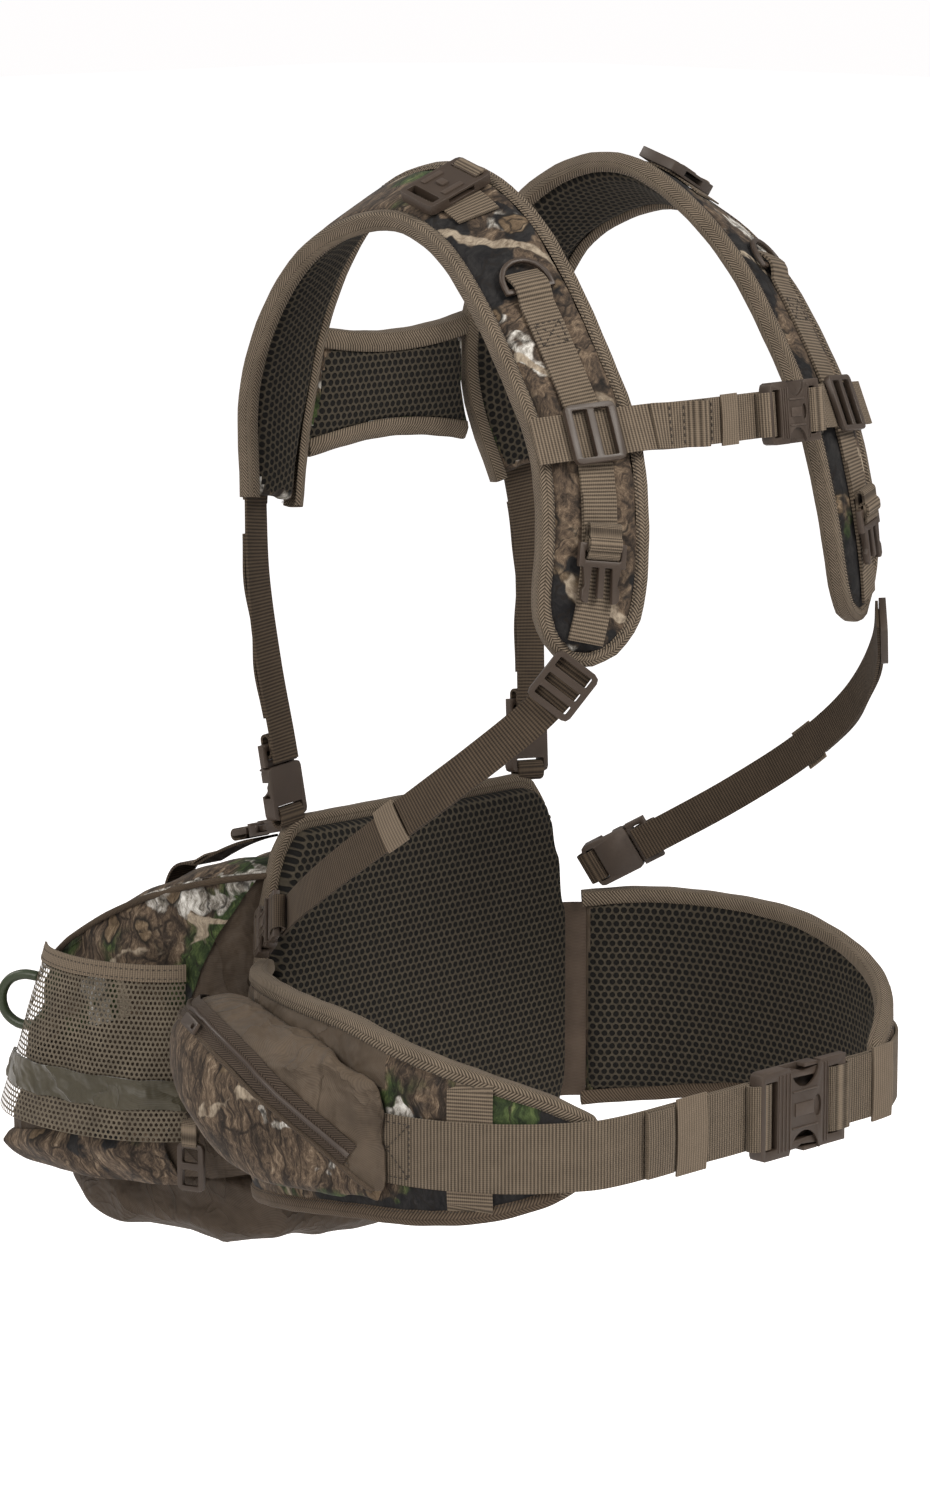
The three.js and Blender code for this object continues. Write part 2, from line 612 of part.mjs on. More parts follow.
const sternumRight = sternumStrap(-1, CHEST_MOUTH_X - 20);
const sternumLeft = sternumStrap(1, CHEST_MOUTH_X + GAP);
add('sternum_strap_right', sternumRight.geometry, FINISH.webbing());
add('sternum_strap_left', sternumLeft.geometry, FINISH.webbing());
const chestEnd = sternumRight.end;
addBuckle('sternum', CHEST_WEB,
  chestEnd.at.clone().setX(CHEST_MOUTH_X).addScaledVector(chestEnd.normal, WEB_THICK / 2),
  vector(1, 0, 0), chestEnd.normal);
addBuckle('belt', BELT_WEB, vector(BELT_MOUTH_X, BELT_FRONT.at(-1)[1] - WEB_THICK / 2, BELT_HEIGHT),
  vector(1, 0, 0), vector(0, -1, 0));

add('lumbar_mesh', panelSlab(BACK_PLANE, BACK_PLANE + PANEL_MESH), FINISH.spacer());
const foamFront = BACK_PLANE + PANEL_MESH + GAP;
add('lumbar_foam', panelSlab(foamFront, foamFront + PANEL_FOAM), FINISH.nylon());
add('bag_body', bagBody(), FINISH.nylon());
add('bag_lid', bagLid(), FINISH.camo());
add('base_pouch', basePouch(), FINISH.nylon());

// A stiff pull loop on the rear zip.
const LOOP_ROWS = [[0, 14], [9, 15], [19, 11], [24, 1], [21, -10], [11, -16], [3, -15]];
const loopLine = new THREE.CatmullRomCurve3(LOOP_ROWS.map(([out, z]) => vector(0, out, z)));
const loopRound = new THREE.Shape().absarc(0, 0, 3.2, 0, 2 * Math.PI);
const loop = new THREE.ExtrudeGeometry(loopRound, { steps: 14, curveSegments: 5, extrudePath: loopLine });
place(add('rear_zip_loop', loop, FINISH.olive()), vector(-152, 298, 36), vector(1, 0.5, 0), vector(0, 0, 1));

export default object;
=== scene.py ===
# Lumbar pack on a hip belt with a padded shoulder harness. Metres, +Z up, the wearer faces -Y.
import bpy
import bmesh
import math
from mathutils import Matrix, Vector, noise


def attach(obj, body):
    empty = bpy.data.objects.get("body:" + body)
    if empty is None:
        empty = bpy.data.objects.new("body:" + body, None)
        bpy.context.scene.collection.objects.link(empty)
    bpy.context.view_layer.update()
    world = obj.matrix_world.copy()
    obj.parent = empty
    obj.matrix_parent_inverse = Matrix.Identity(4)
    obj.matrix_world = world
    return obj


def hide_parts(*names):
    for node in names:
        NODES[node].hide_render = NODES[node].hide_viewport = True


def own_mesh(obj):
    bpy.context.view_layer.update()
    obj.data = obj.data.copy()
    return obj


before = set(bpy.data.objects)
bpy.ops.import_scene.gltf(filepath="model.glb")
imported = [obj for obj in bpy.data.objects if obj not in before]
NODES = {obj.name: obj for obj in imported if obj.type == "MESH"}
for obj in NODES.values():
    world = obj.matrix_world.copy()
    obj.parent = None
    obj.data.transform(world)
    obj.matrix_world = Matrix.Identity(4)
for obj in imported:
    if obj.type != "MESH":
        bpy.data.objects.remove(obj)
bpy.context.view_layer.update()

MM = 0.001
BACK_PLANE = 124
GAP = 0.3
LAY = 0.7
BELT_WEB = 38
CHEST_WEB = 25
STRAP_WEB = 20
WEB_THICK = 1.6
BELT_HEIGHT = 17
CHEST_HEIGHT = 396
PAD_HALF = 30
PAD_FACE = 7
PAD_LINING = 6
WING_THICK = 13
STRAP_DROP = 3.4
CHEST_MOUTH_X = 46
BELT_MOUTH_X = 48
FREE_FROM = 118
SIDES = {"right": -1, "left": 1}
UP = Vector((0, 0, 1))


# ---------------------------------------------------------------- camera, lights and floor

def set_camera():
    """Front right of the wearer, a little above the belt."""
    pitch = math.radians(10.5)
    look = Vector((math.cos(pitch) * math.sin(math.radians(45)),
                   math.cos(pitch) * math.cos(math.radians(45)), -math.sin(pitch)))
    side = Vector((math.cos(math.radians(45)), -math.sin(math.radians(45)), 0))
    aim = Vector((0, -BACK_PLANE * MM, 0.205)) + side * -0.0669
    data = bpy.data.cameras.new("camera")
    data.sensor_fit = "VERTICAL"
    data.sensor_height = 36
    data.lens = 115.2
    data.clip_end = 30
    camera = bpy.data.objects.new("camera", data)
    bpy.context.scene.collection.objects.link(camera)
    camera.location = aim - look * 2.7
    camera.rotation_euler = look.to_track_quat("-Z", "Y").to_euler()
    bpy.context.scene.camera = camera


def add_soft_light(name, place, target, size, power):
    data = bpy.data.lights.new(name, "AREA")
    data.shape = "DISK"
    data.size = size
    data.energy = power
    data.color = (1.0, 0.955, 0.895)
    lamp = bpy.data.objects.new(name, data)
    bpy.context.scene.collection.objects.link(lamp)
    lamp.location = place
    lamp.rotation_euler = (Vector(target) - Vector(place)).to_track_quat("-Z", "Y").to_euler()


def set_studio():
    world = bpy.data.worlds.new("studio")
    bpy.context.scene.world = world
    world.use_nodes = True
    backdrop = world.node_tree.nodes["Background"]
    backdrop.inputs["Color"].default_value = (1, 0.985, 0.985, 1)
    w = Wiring(world.node_tree)
    w.join(w.brighter_to_the_eye(0.36, 1.0), backdrop.inputs["Strength"])
    bpy.context.scene.view_settings.view_transform = "Standard"
    add_soft_light("key", (0.5, -2.8, 2.7), (0, -0.1, 0.2), 1.5, 125)
    add_soft_light("fill", (-3.0, -0.6, 1.6), (0, 0, 0.1), 2.0, 62)
    add_soft_light("rim", (-1.2, 2.6, 2.4), (0, 0, 0.2), 1.6, 45)
    deselect()
    bpy.ops.mesh.primitive_plane_add(size=40, location=(0, 0, -0.55))
    floor = bpy.context.object
    floor.name = "floor"
    bpy.ops.object.transform_apply(location=True, rotation=True, scale=True)
    material, nodes, links, shader = bare_material("floor_paint")
    shader.inputs["Base Color"].default_value = (0.9, 0.885, 0.885, 1)
    shader.inputs["Roughness"].default_value = 0.9
    shader.inputs["Emission Color"].default_value = (1, 0.985, 0.985, 1)
    w = Wiring(material.node_tree)
    w.join(w.brighter_to_the_eye(0.0, 0.75), shader.inputs["Emission Strength"])
    floor.data.materials.append(material)


# ---------------------------------------------------------------- nodes and finishes

def bare_material(name):
    material = bpy.data.materials.new(name)
    material.use_nodes = True
    nodes = material.node_tree.nodes
    return material, nodes, material.node_tree.links, nodes["Principled BSDF"]


def group(name, inputs, outputs):
    """An empty shader group with number, colour or vector sockets."""
    tree = bpy.data.node_groups.new(name, "ShaderNodeTree")
    kinds = {"number": "NodeSocketFloat", "colour": "NodeSocketColor", "vector": "NodeSocketVector"}
    for label, kind, value in inputs:
        socket = tree.interface.new_socket(label, in_out="INPUT", socket_type=kinds[kind])
        if kind != "vector":
            socket.default_value = value
    for label, kind in outputs:
        tree.interface.new_socket(label, in_out="OUTPUT", socket_type=kinds[kind])
    return tree, tree.nodes.new("NodeGroupInput"), tree.nodes.new("NodeGroupOutput")


class Wiring:
    """Short names for the nodes of one tree."""

    def __init__(self, tree):
        self.tree = tree

    def node(self, kind, **values):
        node = self.tree.nodes.new("ShaderNode" + kind)
        for key, value in values.items():
            setattr(node, key, value)
        return node

    def join(self, source, target):
        if isinstance(source, (int, float)):
            target.default_value = source
        elif isinstance(source, tuple):
            target.default_value = source if len(source) == 4 or target.type == "VECTOR" else (*source, 1)
        else:
            self.tree.links.new(source, target)

    def math(self, operation, a, b=0.0, clamp=False):
        node = self.node("Math", operation=operation, use_clamp=clamp)
        self.join(a, node.inputs[0])
        self.join(b, node.inputs[1])
        return node.outputs[0]

    def ramp(self, factor, low, high, smooth=True):
        """0 below low, 1 above high."""
        node = self.node("MapRange", interpolation_type="SMOOTHSTEP" if smooth else "LINEAR")
        self.join(factor, node.inputs["Value"])
        node.inputs["From Min"].default_value = low
        node.inputs["From Max"].default_value = high
        return node.outputs["Result"]

    def mix(self, factor, a, b, blend="MIX"):
        node = self.node("Mix", data_type="RGBA", blend_type=blend)
        self.join(factor, node.inputs["Factor"])
        self.join(a, node.inputs["A"])
        self.join(b, node.inputs["B"])
        return next(s for s in node.outputs if s.type == "RGBA")

    def noise(self, vector, scale, detail=2.0, rough=0.5, distortion=0.0):
        node = self.node("TexNoise")
        self.join(vector, node.inputs["Vector"])
        node.inputs["Scale"].default_value = scale
        node.inputs["Detail"].default_value = detail
        node.inputs["Roughness"].default_value = rough
        node.inputs["Distortion"].default_value = distortion
        return node.outputs["Fac"]

    def cells(self, vector, scale, feature="F1", spread=1.0):
        node = self.node("TexVoronoi", feature=feature)
        self.join(vector, node.inputs["Vector"])
        node.inputs["Scale"].default_value = scale
        node.inputs["Randomness"].default_value = spread
        return node.outputs["Distance"]

    def place(self, vector, move=(0, 0, 0), turn=(0, 0, 0), scale=(1, 1, 1)):
        node = self.node("Mapping")
        self.join(vector, node.inputs["Vector"])
        node.inputs["Location"].default_value = move
        node.inputs["Rotation"].default_value = turn
        node.inputs["Scale"].default_value = scale
        return node.outputs["Vector"]

    def brighter_to_the_eye(self, real, seen):
        """A strength for the pale surroundings: real for the light they give, seen for how they look."""
        path = self.node("LightPath")
        span = self.node("MapRange")
        self.join(path.outputs["Is Camera Ray"], span.inputs["Value"])
        span.inputs["To Min"].default_value = real
        span.inputs["To Max"].default_value = seen
        return span.outputs["Result"]

    def split(self, vector):
        node = self.node("SeparateXYZ")
        self.join(vector, node.inputs[0])
        return node.outputs

    def colours(self, factor, stops):
        node = self.node("ValToRGB")
        self.join(factor, node.inputs["Fac"])
        ramp = node.color_ramp
        while len(ramp.elements) < len(stops):
            ramp.elements.new(0.5)
        for element, (at, colour) in zip(ramp.elements, stops):
            element.position = at
            element.color = (*colour, 1)
        return node.outputs["Color"]


def ribbed_weave_group():
    """Webbing: cords across the strap, each made of fine yarns, with painted shade in the valleys between them. The
    vector is metres along and across.
    """
    tree, start, end = group("ribbed weave", [("Place", "vector", None), ("Ribs per metre", "number", 520.0)],
                             [("Height", "number"), ("Painted shade and tone", "number")])
    w = Wiring(tree)
    along, across, _ = w.split(start.outputs["Place"])
    rib = w.math("SINE", w.math("MULTIPLY", along, w.math("MULTIPLY", start.outputs["Ribs per metre"], 2 * math.pi)))
    rib = w.math("ADD", w.math("MULTIPLY", rib, 0.5), 0.5)
    yarn = w.math("SINE", w.math("MULTIPLY", across, 2 * math.pi * 900))
    yarn = w.math("ADD", w.math("MULTIPLY", yarn, 0.5), 0.5)
    cloudy = w.noise(start.outputs["Place"], 90, 3, 0.6)
    height = w.math("ADD", w.math("MULTIPLY", rib, 0.75), w.math("MULTIPLY", yarn, 0.25))
    w.join(height, end.inputs["Height"])
    # Painted shade: the colour follows the relief, darkest in the valleys between cords and yarns, with a quarter of
    # random cloudy tone.
    shade = w.math("ADD", w.math("MULTIPLY", height, 0.75), w.math("MULTIPLY", cloudy, 0.25))
    w.join(shade, end.inputs["Painted shade and tone"])
    return tree


def twill_group():
    """Herringbone tape: diagonal yarns that turn back in columns along the tape, with painted shade in the low places
    of the weave.
    """
    tree, start, end = group("herringbone", [("Place", "vector", None)], [("Height", "number"), ("Painted shade and tone", "number")])
    w = Wiring(tree)
    along, across, _ = w.split(start.outputs["Place"])
    column = w.math("PINGPONG", across, 0.0052)
    slope = w.math("ADD", w.math("MULTIPLY", along, 2 * math.pi * 520), w.math("MULTIPLY", column, 2 * math.pi * 640))
    yarn = w.math("ADD", w.math("MULTIPLY", w.math("SINE", slope), 0.5), 0.5)
    fold = w.ramp(w.math("PINGPONG", across, 0.0052), 0.0, 0.0006)
    height = w.math("MULTIPLY", yarn, w.math("ADD", w.math("MULTIPLY", fold, 0.4), 0.6))
    w.join(height, end.inputs["Height"])
    cloudy = w.noise(start.outputs["Place"], 60, 3, 0.6)
    # Painted shade: the colour follows the yarn relief, darkest in the grooves and where the columns turn, with random
    # cloudy tone.
    w.join(w.math("ADD", w.math("MULTIPLY", height, 0.7), w.math("MULTIPLY", cloudy, 0.3)), end.inputs["Painted shade and tone"])
    return tree


def plain_weave_group():
    """Fine plain cloth on any surface, from its place in the object, with painted shade where the yarns dip."""
    tree, start, end = group("plain weave", [("Place", "vector", None)], [("Height", "number"), ("Painted shade and tone", "number")])
    w = Wiring(tree)
    x, y, z = w.split(start.outputs["Place"])
    pitch = 2 * math.pi * 1100
    across = w.math("SINE", w.math("MULTIPLY", w.math("ADD", x, y), pitch))
    down = w.math("SINE", w.math("MULTIPLY", z, pitch))
    weave = w.math("ADD", w.math("MULTIPLY", w.math("MULTIPLY", across, down), 0.5), 0.5)
    w.join(weave, end.inputs["Height"])
    # Painted shade from the weave's relief makes a third of the tone; the rest is random cloudy tone.
    w.join(w.math("ADD", w.math("MULTIPLY", weave, 0.35), w.math("MULTIPLY", w.noise(
        start.outputs["Place"], 40, 4, 0.6), 0.65)), end.inputs["Painted shade and tone"])
    return tree


def honeycomb_group():
    """Knitted net: how far each place is from the middle of its six-sided hole, in pitches."""
    tree, start, end = group("honeycomb", [("Place", "vector", None), ("Pitch", "number", 0.0036)],
                             [("Apart", "number")])
    w = Wiring(tree)
    x, y, _ = w.split(start.outputs["Place"])
    pitch = start.outputs["Pitch"]
    rows = w.math("DIVIDE", y, w.math("MULTIPLY", pitch, 0.866))
    shift = w.math("MULTIPLY", w.math("FLOOR", w.math("FLOORED_MODULO", rows, 2.0)), 0.5)
    cx = w.math("SUBTRACT", w.math("FRACT", w.math("ADD", w.math("DIVIDE", x, pitch), shift)), 0.5)
    cy = w.math("MULTIPLY", w.math("SUBTRACT", w.math("FRACT", rows), 0.5), 0.866)
    apart = w.math("SQRT", w.math("ADD", w.math("MULTIPLY", cx, cx), w.math("MULTIPLY", cy, cy)))
    w.join(apart, end.inputs["Apart"])
    return tree


def wear_group():
    """Rubbed edges and a cloudy hand-worn surface on moulded pieces."""
    tree, start, end = group("wear", [("Place", "vector", None)], [("Edge", "number"), ("Cloud", "number")])
    w = Wiring(tree)
    geometry = w.node("NewGeometry")
    edge = w.ramp(geometry.outputs["Pointiness"], 0.52, 0.6)
    scratch = w.noise(start.outputs["Place"], 420, 4, 0.7)
    w.join(w.math("MULTIPLY", edge, scratch), end.inputs["Edge"])
    w.join(w.noise(start.outputs["Place"], 70, 4, 0.6), end.inputs["Cloud"])
    return tree


def bark_camo_group():
    """Leaf-and-bark camouflage of its own drawing: bark plates, shadows, lichen and moss."""
    tree, start, end = group("bark camo", [("Place", "vector", None), ("More moss", "number", 0.0),
                                           ("More shadow", "number", 0.0), ("More lichen", "number", 0.0)],
                             [("Colour", "colour"), ("Height", "number")])
    w = Wiring(tree)
    place = start.outputs["Place"]
    warp = w.node("TexNoise")
    w.join(place, warp.inputs["Vector"])
    warp.inputs["Scale"].default_value = 18
    warp.inputs["Detail"].default_value = 4
    warp.inputs["Roughness"].default_value = 0.6
    drift = w.node("VectorMath", operation="MULTIPLY_ADD")
    w.join(warp.outputs["Color"], drift.inputs[0])
    drift.inputs[1].default_value = (0.035, 0.035, 0.035)
    w.join(place, drift.inputs[2])
    bent = drift.outputs[0]
    streaks = w.place(bent, turn=(0.5, 0.3, 0.9), scale=(1, 3.6, 1))
    bark = w.noise(streaks, 42, 10, 0.76, 0.3)
    fine = w.noise(w.place(bent, turn=(0.5, 0.3, 0.9), scale=(1, 3.0, 1)), 170, 6, 0.8)
    tone = w.math("ADD", w.math("MULTIPLY", bark, 0.58), w.math("MULTIPLY", fine, 0.42))
    brown = w.colours(tone, [(0.38, (0.009, 0.007, 0.006)), (0.46, (0.036, 0.026, 0.019)),
                             (0.52, (0.085, 0.06, 0.041)), (0.58, (0.17, 0.125, 0.085)),
                             (0.66, (0.33, 0.275, 0.21))])
    lichen = w.colours(tone, [(0.37, (0.02, 0.018, 0.015)), (0.45, (0.15, 0.135, 0.115)),
                              (0.52, (0.4, 0.385, 0.355)), (0.6, (0.72, 0.71, 0.68))])
    moss = w.colours(tone, [(0.4, (0.005, 0.009, 0.004)), (0.5, (0.024, 0.038, 0.013)),
                            (0.59, (0.07, 0.098, 0.032)), (0.67, (0.2, 0.2, 0.1))])
    shadow = w.colours(tone, [(0.42, (0.004, 0.004, 0.005)), (0.58, (0.02, 0.019, 0.019)),
                              (0.7, (0.075, 0.065, 0.055))])
    leaf_tone = w.colours(tone, [(0.4, (0.045, 0.03, 0.018)), (0.52, (0.13, 0.092, 0.057)),
                                 (0.64, (0.33, 0.26, 0.18))])
    large = w.noise(w.place(bent, move=(3.1, 1.7, 0.4)), 11, 4, 0.55)
    second = w.noise(w.place(bent, move=(8.3, 4.1, 2.2)), 13, 4, 0.6)
    third = w.noise(w.place(bent, move=(1.3, 7.7, 5.2)), 10, 4, 0.55)
    second = w.math("ADD", second, start.outputs["More lichen"])
    third = w.math("ADD", third, start.outputs["More moss"])
    large = w.math("ADD", large, start.outputs["More shadow"])
    colour = w.mix(w.ramp(third, 0.565, 0.61), brown, moss)
    colour = w.mix(w.ramp(second, 0.58, 0.6), colour, lichen)
    colour = w.mix(w.ramp(large, 0.56, 0.58), colour, shadow)
    leaf = w.cells(w.place(bent, turn=(0.2, 1.1, 0.5), scale=(1, 2.1, 1.4)), 24, "F1", 0.9)
    few = w.ramp(w.noise(w.place(place, move=(6.1, 2.2, 9.4)), 16, 2, 0.5), 0.57, 0.6)
    colour = w.mix(w.math("MULTIPLY", w.math("SUBTRACT", 1.0, w.ramp(leaf, 0.3, 0.4), clamp=True), few),
                   colour, (0.01, 0.008, 0.006))
    colour = w.mix(w.math("MULTIPLY", w.math("SUBTRACT", 1.0, w.ramp(leaf, 0.26, 0.31), clamp=True), few),
                   colour, leaf_tone)
    crack = w.cells(w.place(bent, turn=(0.5, 0.3, 0.9), scale=(1, 2.6, 1)), 30, "DISTANCE_TO_EDGE")
    cracks = w.math("SUBTRACT", 1.0, w.ramp(crack, 0.01, 0.06), clamp=True)
    colour = w.mix(w.math("MULTIPLY", w.math("MULTIPLY", cracks, w.ramp(fine, 0.42, 0.55)), 0.9), colour,
                   (0.008, 0.006, 0.005))
    twig = w.node("TexWave", wave_type="BANDS", bands_direction="DIAGONAL")
    w.join(bent, twig.inputs["Vector"])
    twig.inputs["Scale"].default_value = 4.5
    twig.inputs["Distortion"].default_value = 3.2
    twig.inputs["Detail"].default_value = 3
    twig.inputs["Detail Scale"].default_value = 2.0
    twigs = w.math("MULTIPLY", w.ramp(twig.outputs["Fac"], 0.985, 0.995), w.ramp(second, 0.44, 0.47))
    colour = w.mix(twigs, colour, w.colours(tone, [(0.4, (0.09, 0.065, 0.045)), (0.6, (0.4, 0.34, 0.26))]))
    w.join(colour, end.inputs["Colour"])
    w.join(w.noise(place, 1500, 2, 0.6), end.inputs["Height"])
    return tree


def set_finish(shader, roughness, sheen=0.0, metallic=0.0):
    shader.inputs["Roughness"].default_value = roughness
    shader.inputs["Metallic"].default_value = metallic
    shader.inputs["Sheen Weight"].default_value = sheen
    shader.inputs["Sheen Roughness"].default_value = 0.4
    shader.inputs["Specular IOR Level"].default_value = 0.25


def cloth_material(name, group_name, dark, light, coordinate="UV", strength=0.5, distance=0.0004,
                   roughness=0.85, folds=0.0, sheen=0.03):
    """A woven finish from one of the weave groups, between a dark and a light colour; the dark end is painted shade in
    the weave's valleys, mixed with random tone.
    """
    material, nodes, links, shader = bare_material(name)
    w = Wiring(material.node_tree)
    place = w.node("TexCoord").outputs[coordinate]
    weave = w.node("Group", node_tree=WEAVES[group_name])
    w.join(place, weave.inputs["Place"])
    # The weave's painted shade and random tone choose between the dark and the light colour.
    w.join(w.mix(w.ramp(weave.outputs["Painted shade and tone"], 0.15, 0.85, False), dark, light), shader.inputs["Base Color"])
    bump = w.node("Bump")
    bump.inputs["Strength"].default_value = strength
    bump.inputs["Distance"].default_value = distance
    w.join(weave.outputs["Height"], bump.inputs["Height"])
    if folds:
        creases = w.node("Bump")
        creases.inputs["Strength"].default_value = folds
        creases.inputs["Distance"].default_value = 0.007
        own = w.node("TexCoord").outputs["Object"]
        sharp = w.math("ABSOLUTE", w.math("SUBTRACT", w.noise(own, 21, 3, 0.5, 0.8), 0.5))
        sharp = w.math("MULTIPLY", w.math("POWER", sharp, 0.6), -1.4)
        w.join(w.math("ADD", sharp, w.noise(own, 60, 2, 0.5, 0.4)), creases.inputs["Height"])
        w.join(creases.outputs["Normal"], bump.inputs["Normal"])
    w.join(bump.outputs["Normal"], shader.inputs["Normal"])
    set_finish(shader, roughness, sheen)
    return material


def camo_material(name, move, moss=0.0, shadow=0.0, lichen=0.0):
    """The printed cloth, its pattern moved to its own place and leaning to one of its colours."""
    material, nodes, links, shader = bare_material(name)
    w = Wiring(material.node_tree)
    place = w.place(w.node("TexCoord").outputs["Object"], move=move)
    camo = w.node("Group", node_tree=WEAVES["bark camo"])
    w.join(place, camo.inputs["Place"])
    camo.inputs["More moss"].default_value = moss
    camo.inputs["More shadow"].default_value = shadow
    camo.inputs["More lichen"].default_value = lichen
    w.join(camo.outputs["Colour"], shader.inputs["Base Color"])
    nap = w.node("Bump")
    nap.inputs["Strength"].default_value = 0.25
    nap.inputs["Distance"].default_value = 0.0003
    w.join(camo.outputs["Height"], nap.inputs["Height"])
    creases = w.node("Bump")
    creases.inputs["Strength"].default_value = 0.35
    creases.inputs["Distance"].default_value = 0.004
    w.join(w.noise(place, 16, 2, 0.5, 0.4), creases.inputs["Height"])
    w.join(creases.outputs["Normal"], nap.inputs["Normal"])
    w.join(nap.outputs["Normal"], shader.inputs["Normal"])
    set_finish(shader, 0.85, 0.03)
    return material


def plastic_material(name, colour, roughness):
    material, nodes, links, shader = bare_material(name)
    w = Wiring(material.node_tree)
    place = w.node("TexCoord").outputs["Object"]
    wear = w.node("Group", node_tree=WEAVES["wear"])
    w.join(place, wear.inputs["Place"])
    deep = tuple(0.8 * c for c in colour)
    pale = tuple(1.9 * c + 0.02 for c in colour)
    body = w.mix(wear.outputs["Cloud"], deep, tuple(1.15 * c for c in colour))
    w.join(w.mix(w.math("MULTIPLY", wear.outputs["Edge"], 0.7), body, pale), shader.inputs["Base Color"])
    grain = w.node("Bump")
    grain.inputs["Strength"].default_value = 0.12
    grain.inputs["Distance"].default_value = 0.0002
    w.join(w.noise(place, 1800, 2, 0.5), grain.inputs["Height"])
    w.join(grain.outputs["Normal"], shader.inputs["Normal"])
    set_finish(shader, roughness)
    shader.inputs["Specular IOR Level"].default_value = 0.4
    rough = w.math("ADD", w.math("MULTIPLY", wear.outputs["Cloud"], 0.18), roughness - 0.09)
    w.join(rough, shader.inputs["Roughness"])
    return material


def spacer_material():
    """Thick air mesh: a net of six-sided holes, painted near-black in the holes as the shade deep in the mesh. The map
    is metres on the pad.
    """
    material, nodes, links, shader = bare_material("air mesh")
    w = Wiring(material.node_tree)
    comb = w.node("Group", node_tree=WEAVES["honeycomb"])
    w.join(w.node("TexCoord").outputs["UV"], comb.inputs["Place"])
    comb.inputs["Pitch"].default_value = 0.0046
    net = w.ramp(comb.outputs["Apart"], 0.3, 0.42)
    cloudy = w.noise(w.node("TexCoord").outputs["Object"], 300, 3, 0.6)
    yarn = w.mix(cloudy, (0.022, 0.018, 0.013), (0.075, 0.063, 0.045))
    # Painted shade: near-black in the middle of each hole, where shade falls deep into the mesh.
    w.join(w.mix(net, (0.004, 0.0035, 0.003), yarn), shader.inputs["Base Color"])
    bump = w.node("Bump")
    bump.inputs["Strength"].default_value = 0.9
    bump.inputs["Distance"].default_value = 0.0016
    w.join(net, bump.inputs["Height"])
    w.join(bump.outputs["Normal"], shader.inputs["Normal"])
    set_finish(shader, 0.9)
    return material


def net_material():
    """Open pocket net: a lattice that light passes through. The map is metres along and up."""
    material, nodes, links, shader = bare_material("pocket net")
    w = Wiring(material.node_tree)
    comb = w.node("Group", node_tree=WEAVES["honeycomb"])
    w.join(w.node("TexCoord").outputs["UV"], comb.inputs["Place"])
    comb.inputs["Pitch"].default_value = 0.0034
    w.join(w.ramp(comb.outputs["Apart"], 0.27, 0.34), shader.inputs["Alpha"])
    shade = w.noise(w.node("TexCoord").outputs["Object"], 60, 2)
    w.join(w.mix(shade, (0.05, 0.041, 0.03), (0.17, 0.142, 0.104)), shader.inputs["Base Color"])
    bump = w.node("Bump")
    bump.inputs["Strength"].default_value = 0.5
    bump.inputs["Distance"].default_value = 0.0004
    w.join(w.ramp(comb.outputs["Apart"], 0.27, 0.5), bump.inputs["Height"])
    w.join(bump.outputs["Normal"], shader.inputs["Normal"])
    set_finish(shader, 0.75)
    return material


# ---------------------------------------------------------------- lines that the straps and pads follow

def curve_point(points, t):
    """A point of the smooth line through the points, t from 0 to 1."""
    last = len(points) - 1
    whole = min(int(last * t), last - 1)
    share = last * t - whole
    a = points[whole - 1] if whole > 0 else points[0] * 2 - points[1]
    b, c = points[whole], points[whole + 1]
    d = points[whole + 2] if whole + 2 <= last else points[last] * 2 - points[last - 1]
    gaps = [max(q.length, 1e-9) ** 0.5 for q in (b - a, c - b, d - c)]
    if gaps[1] < 1e-4:
        gaps[1] = 1.0
    gaps[0] = gaps[0] if gaps[0] > 1e-4 else gaps[1]
    gaps[2] = gaps[2] if gaps[2] > 1e-4 else gaps[1]
    lead = ((b - a) / gaps[0] - (c - a) / (gaps[0] + gaps[1]) + (c - b) / gaps[1]) * gaps[1]
    trail = ((c - b) / gaps[1] - (d - b) / (gaps[1] + gaps[2]) + (d - c) / gaps[2]) * gaps[1]
    return (b + lead * share + (c * 3 - b * 3 - lead * 2 - trail) * share ** 2
            + (b * 2 - c * 2 + lead + trail) * share ** 3)


class Spot:
    def __init__(self, at, along, out):
        self.at = at
        self.along = along.normalized()
        self.out = (out - self.along * out.dot(self.along)).normalized()
        self.across = self.along.cross(self.out)

    def lifted(self, lift, across=0.0):
        return self.at + self.out * lift * MM + self.across * across * MM


class Line:
    """A smooth line on a surface, from rows of place in millimetres and outward direction."""

    def __init__(self, rows, sign=1):
        self.places = [Vector((sign * r[0], r[1] - BACK_PLANE, r[2])) for r in rows]
        self.facings = [Vector((sign * r[3], r[4], r[5])) for r in rows]
        marks = [curve_point(self.places, i / 200) for i in range(201)]
        self.sums = [0.0]
        for before, after in zip(marks, marks[1:]):
            self.sums.append(self.sums[-1] + (after - before).length)
        self.length = self.sums[-1]

    def turn_of(self, u):
        goal = min(max(u, 0.0), 1.0) * self.length
        low = 0
        high = 200
        while high - low > 1:
            middle = (low + high) // 2
            if self.sums[middle] <= goal:
                low = middle
            else:
                high = middle
        span = self.sums[low + 1] - self.sums[low]
        return min((low + (goal - self.sums[low]) / span) / 200, 1.0)

    def spot(self, u):
        t = self.turn_of(u)
        before = curve_point(self.places, max(t - 0.0001, 0))
        after = curve_point(self.places, min(t + 0.0001, 1))
        return Spot(curve_point(self.places, t) * MM, after - before, curve_point(self.facings, t))

    def at_height(self, height):
        low, high = 0.5, 1.0
        for _ in range(30):
            middle = (low + high) / 2
            if self.spot(middle).at.z > height * MM:
                low = middle
            else:
                high = middle
        return low


# ---------------------------------------------------------------- the bench: adding and finishing pieces

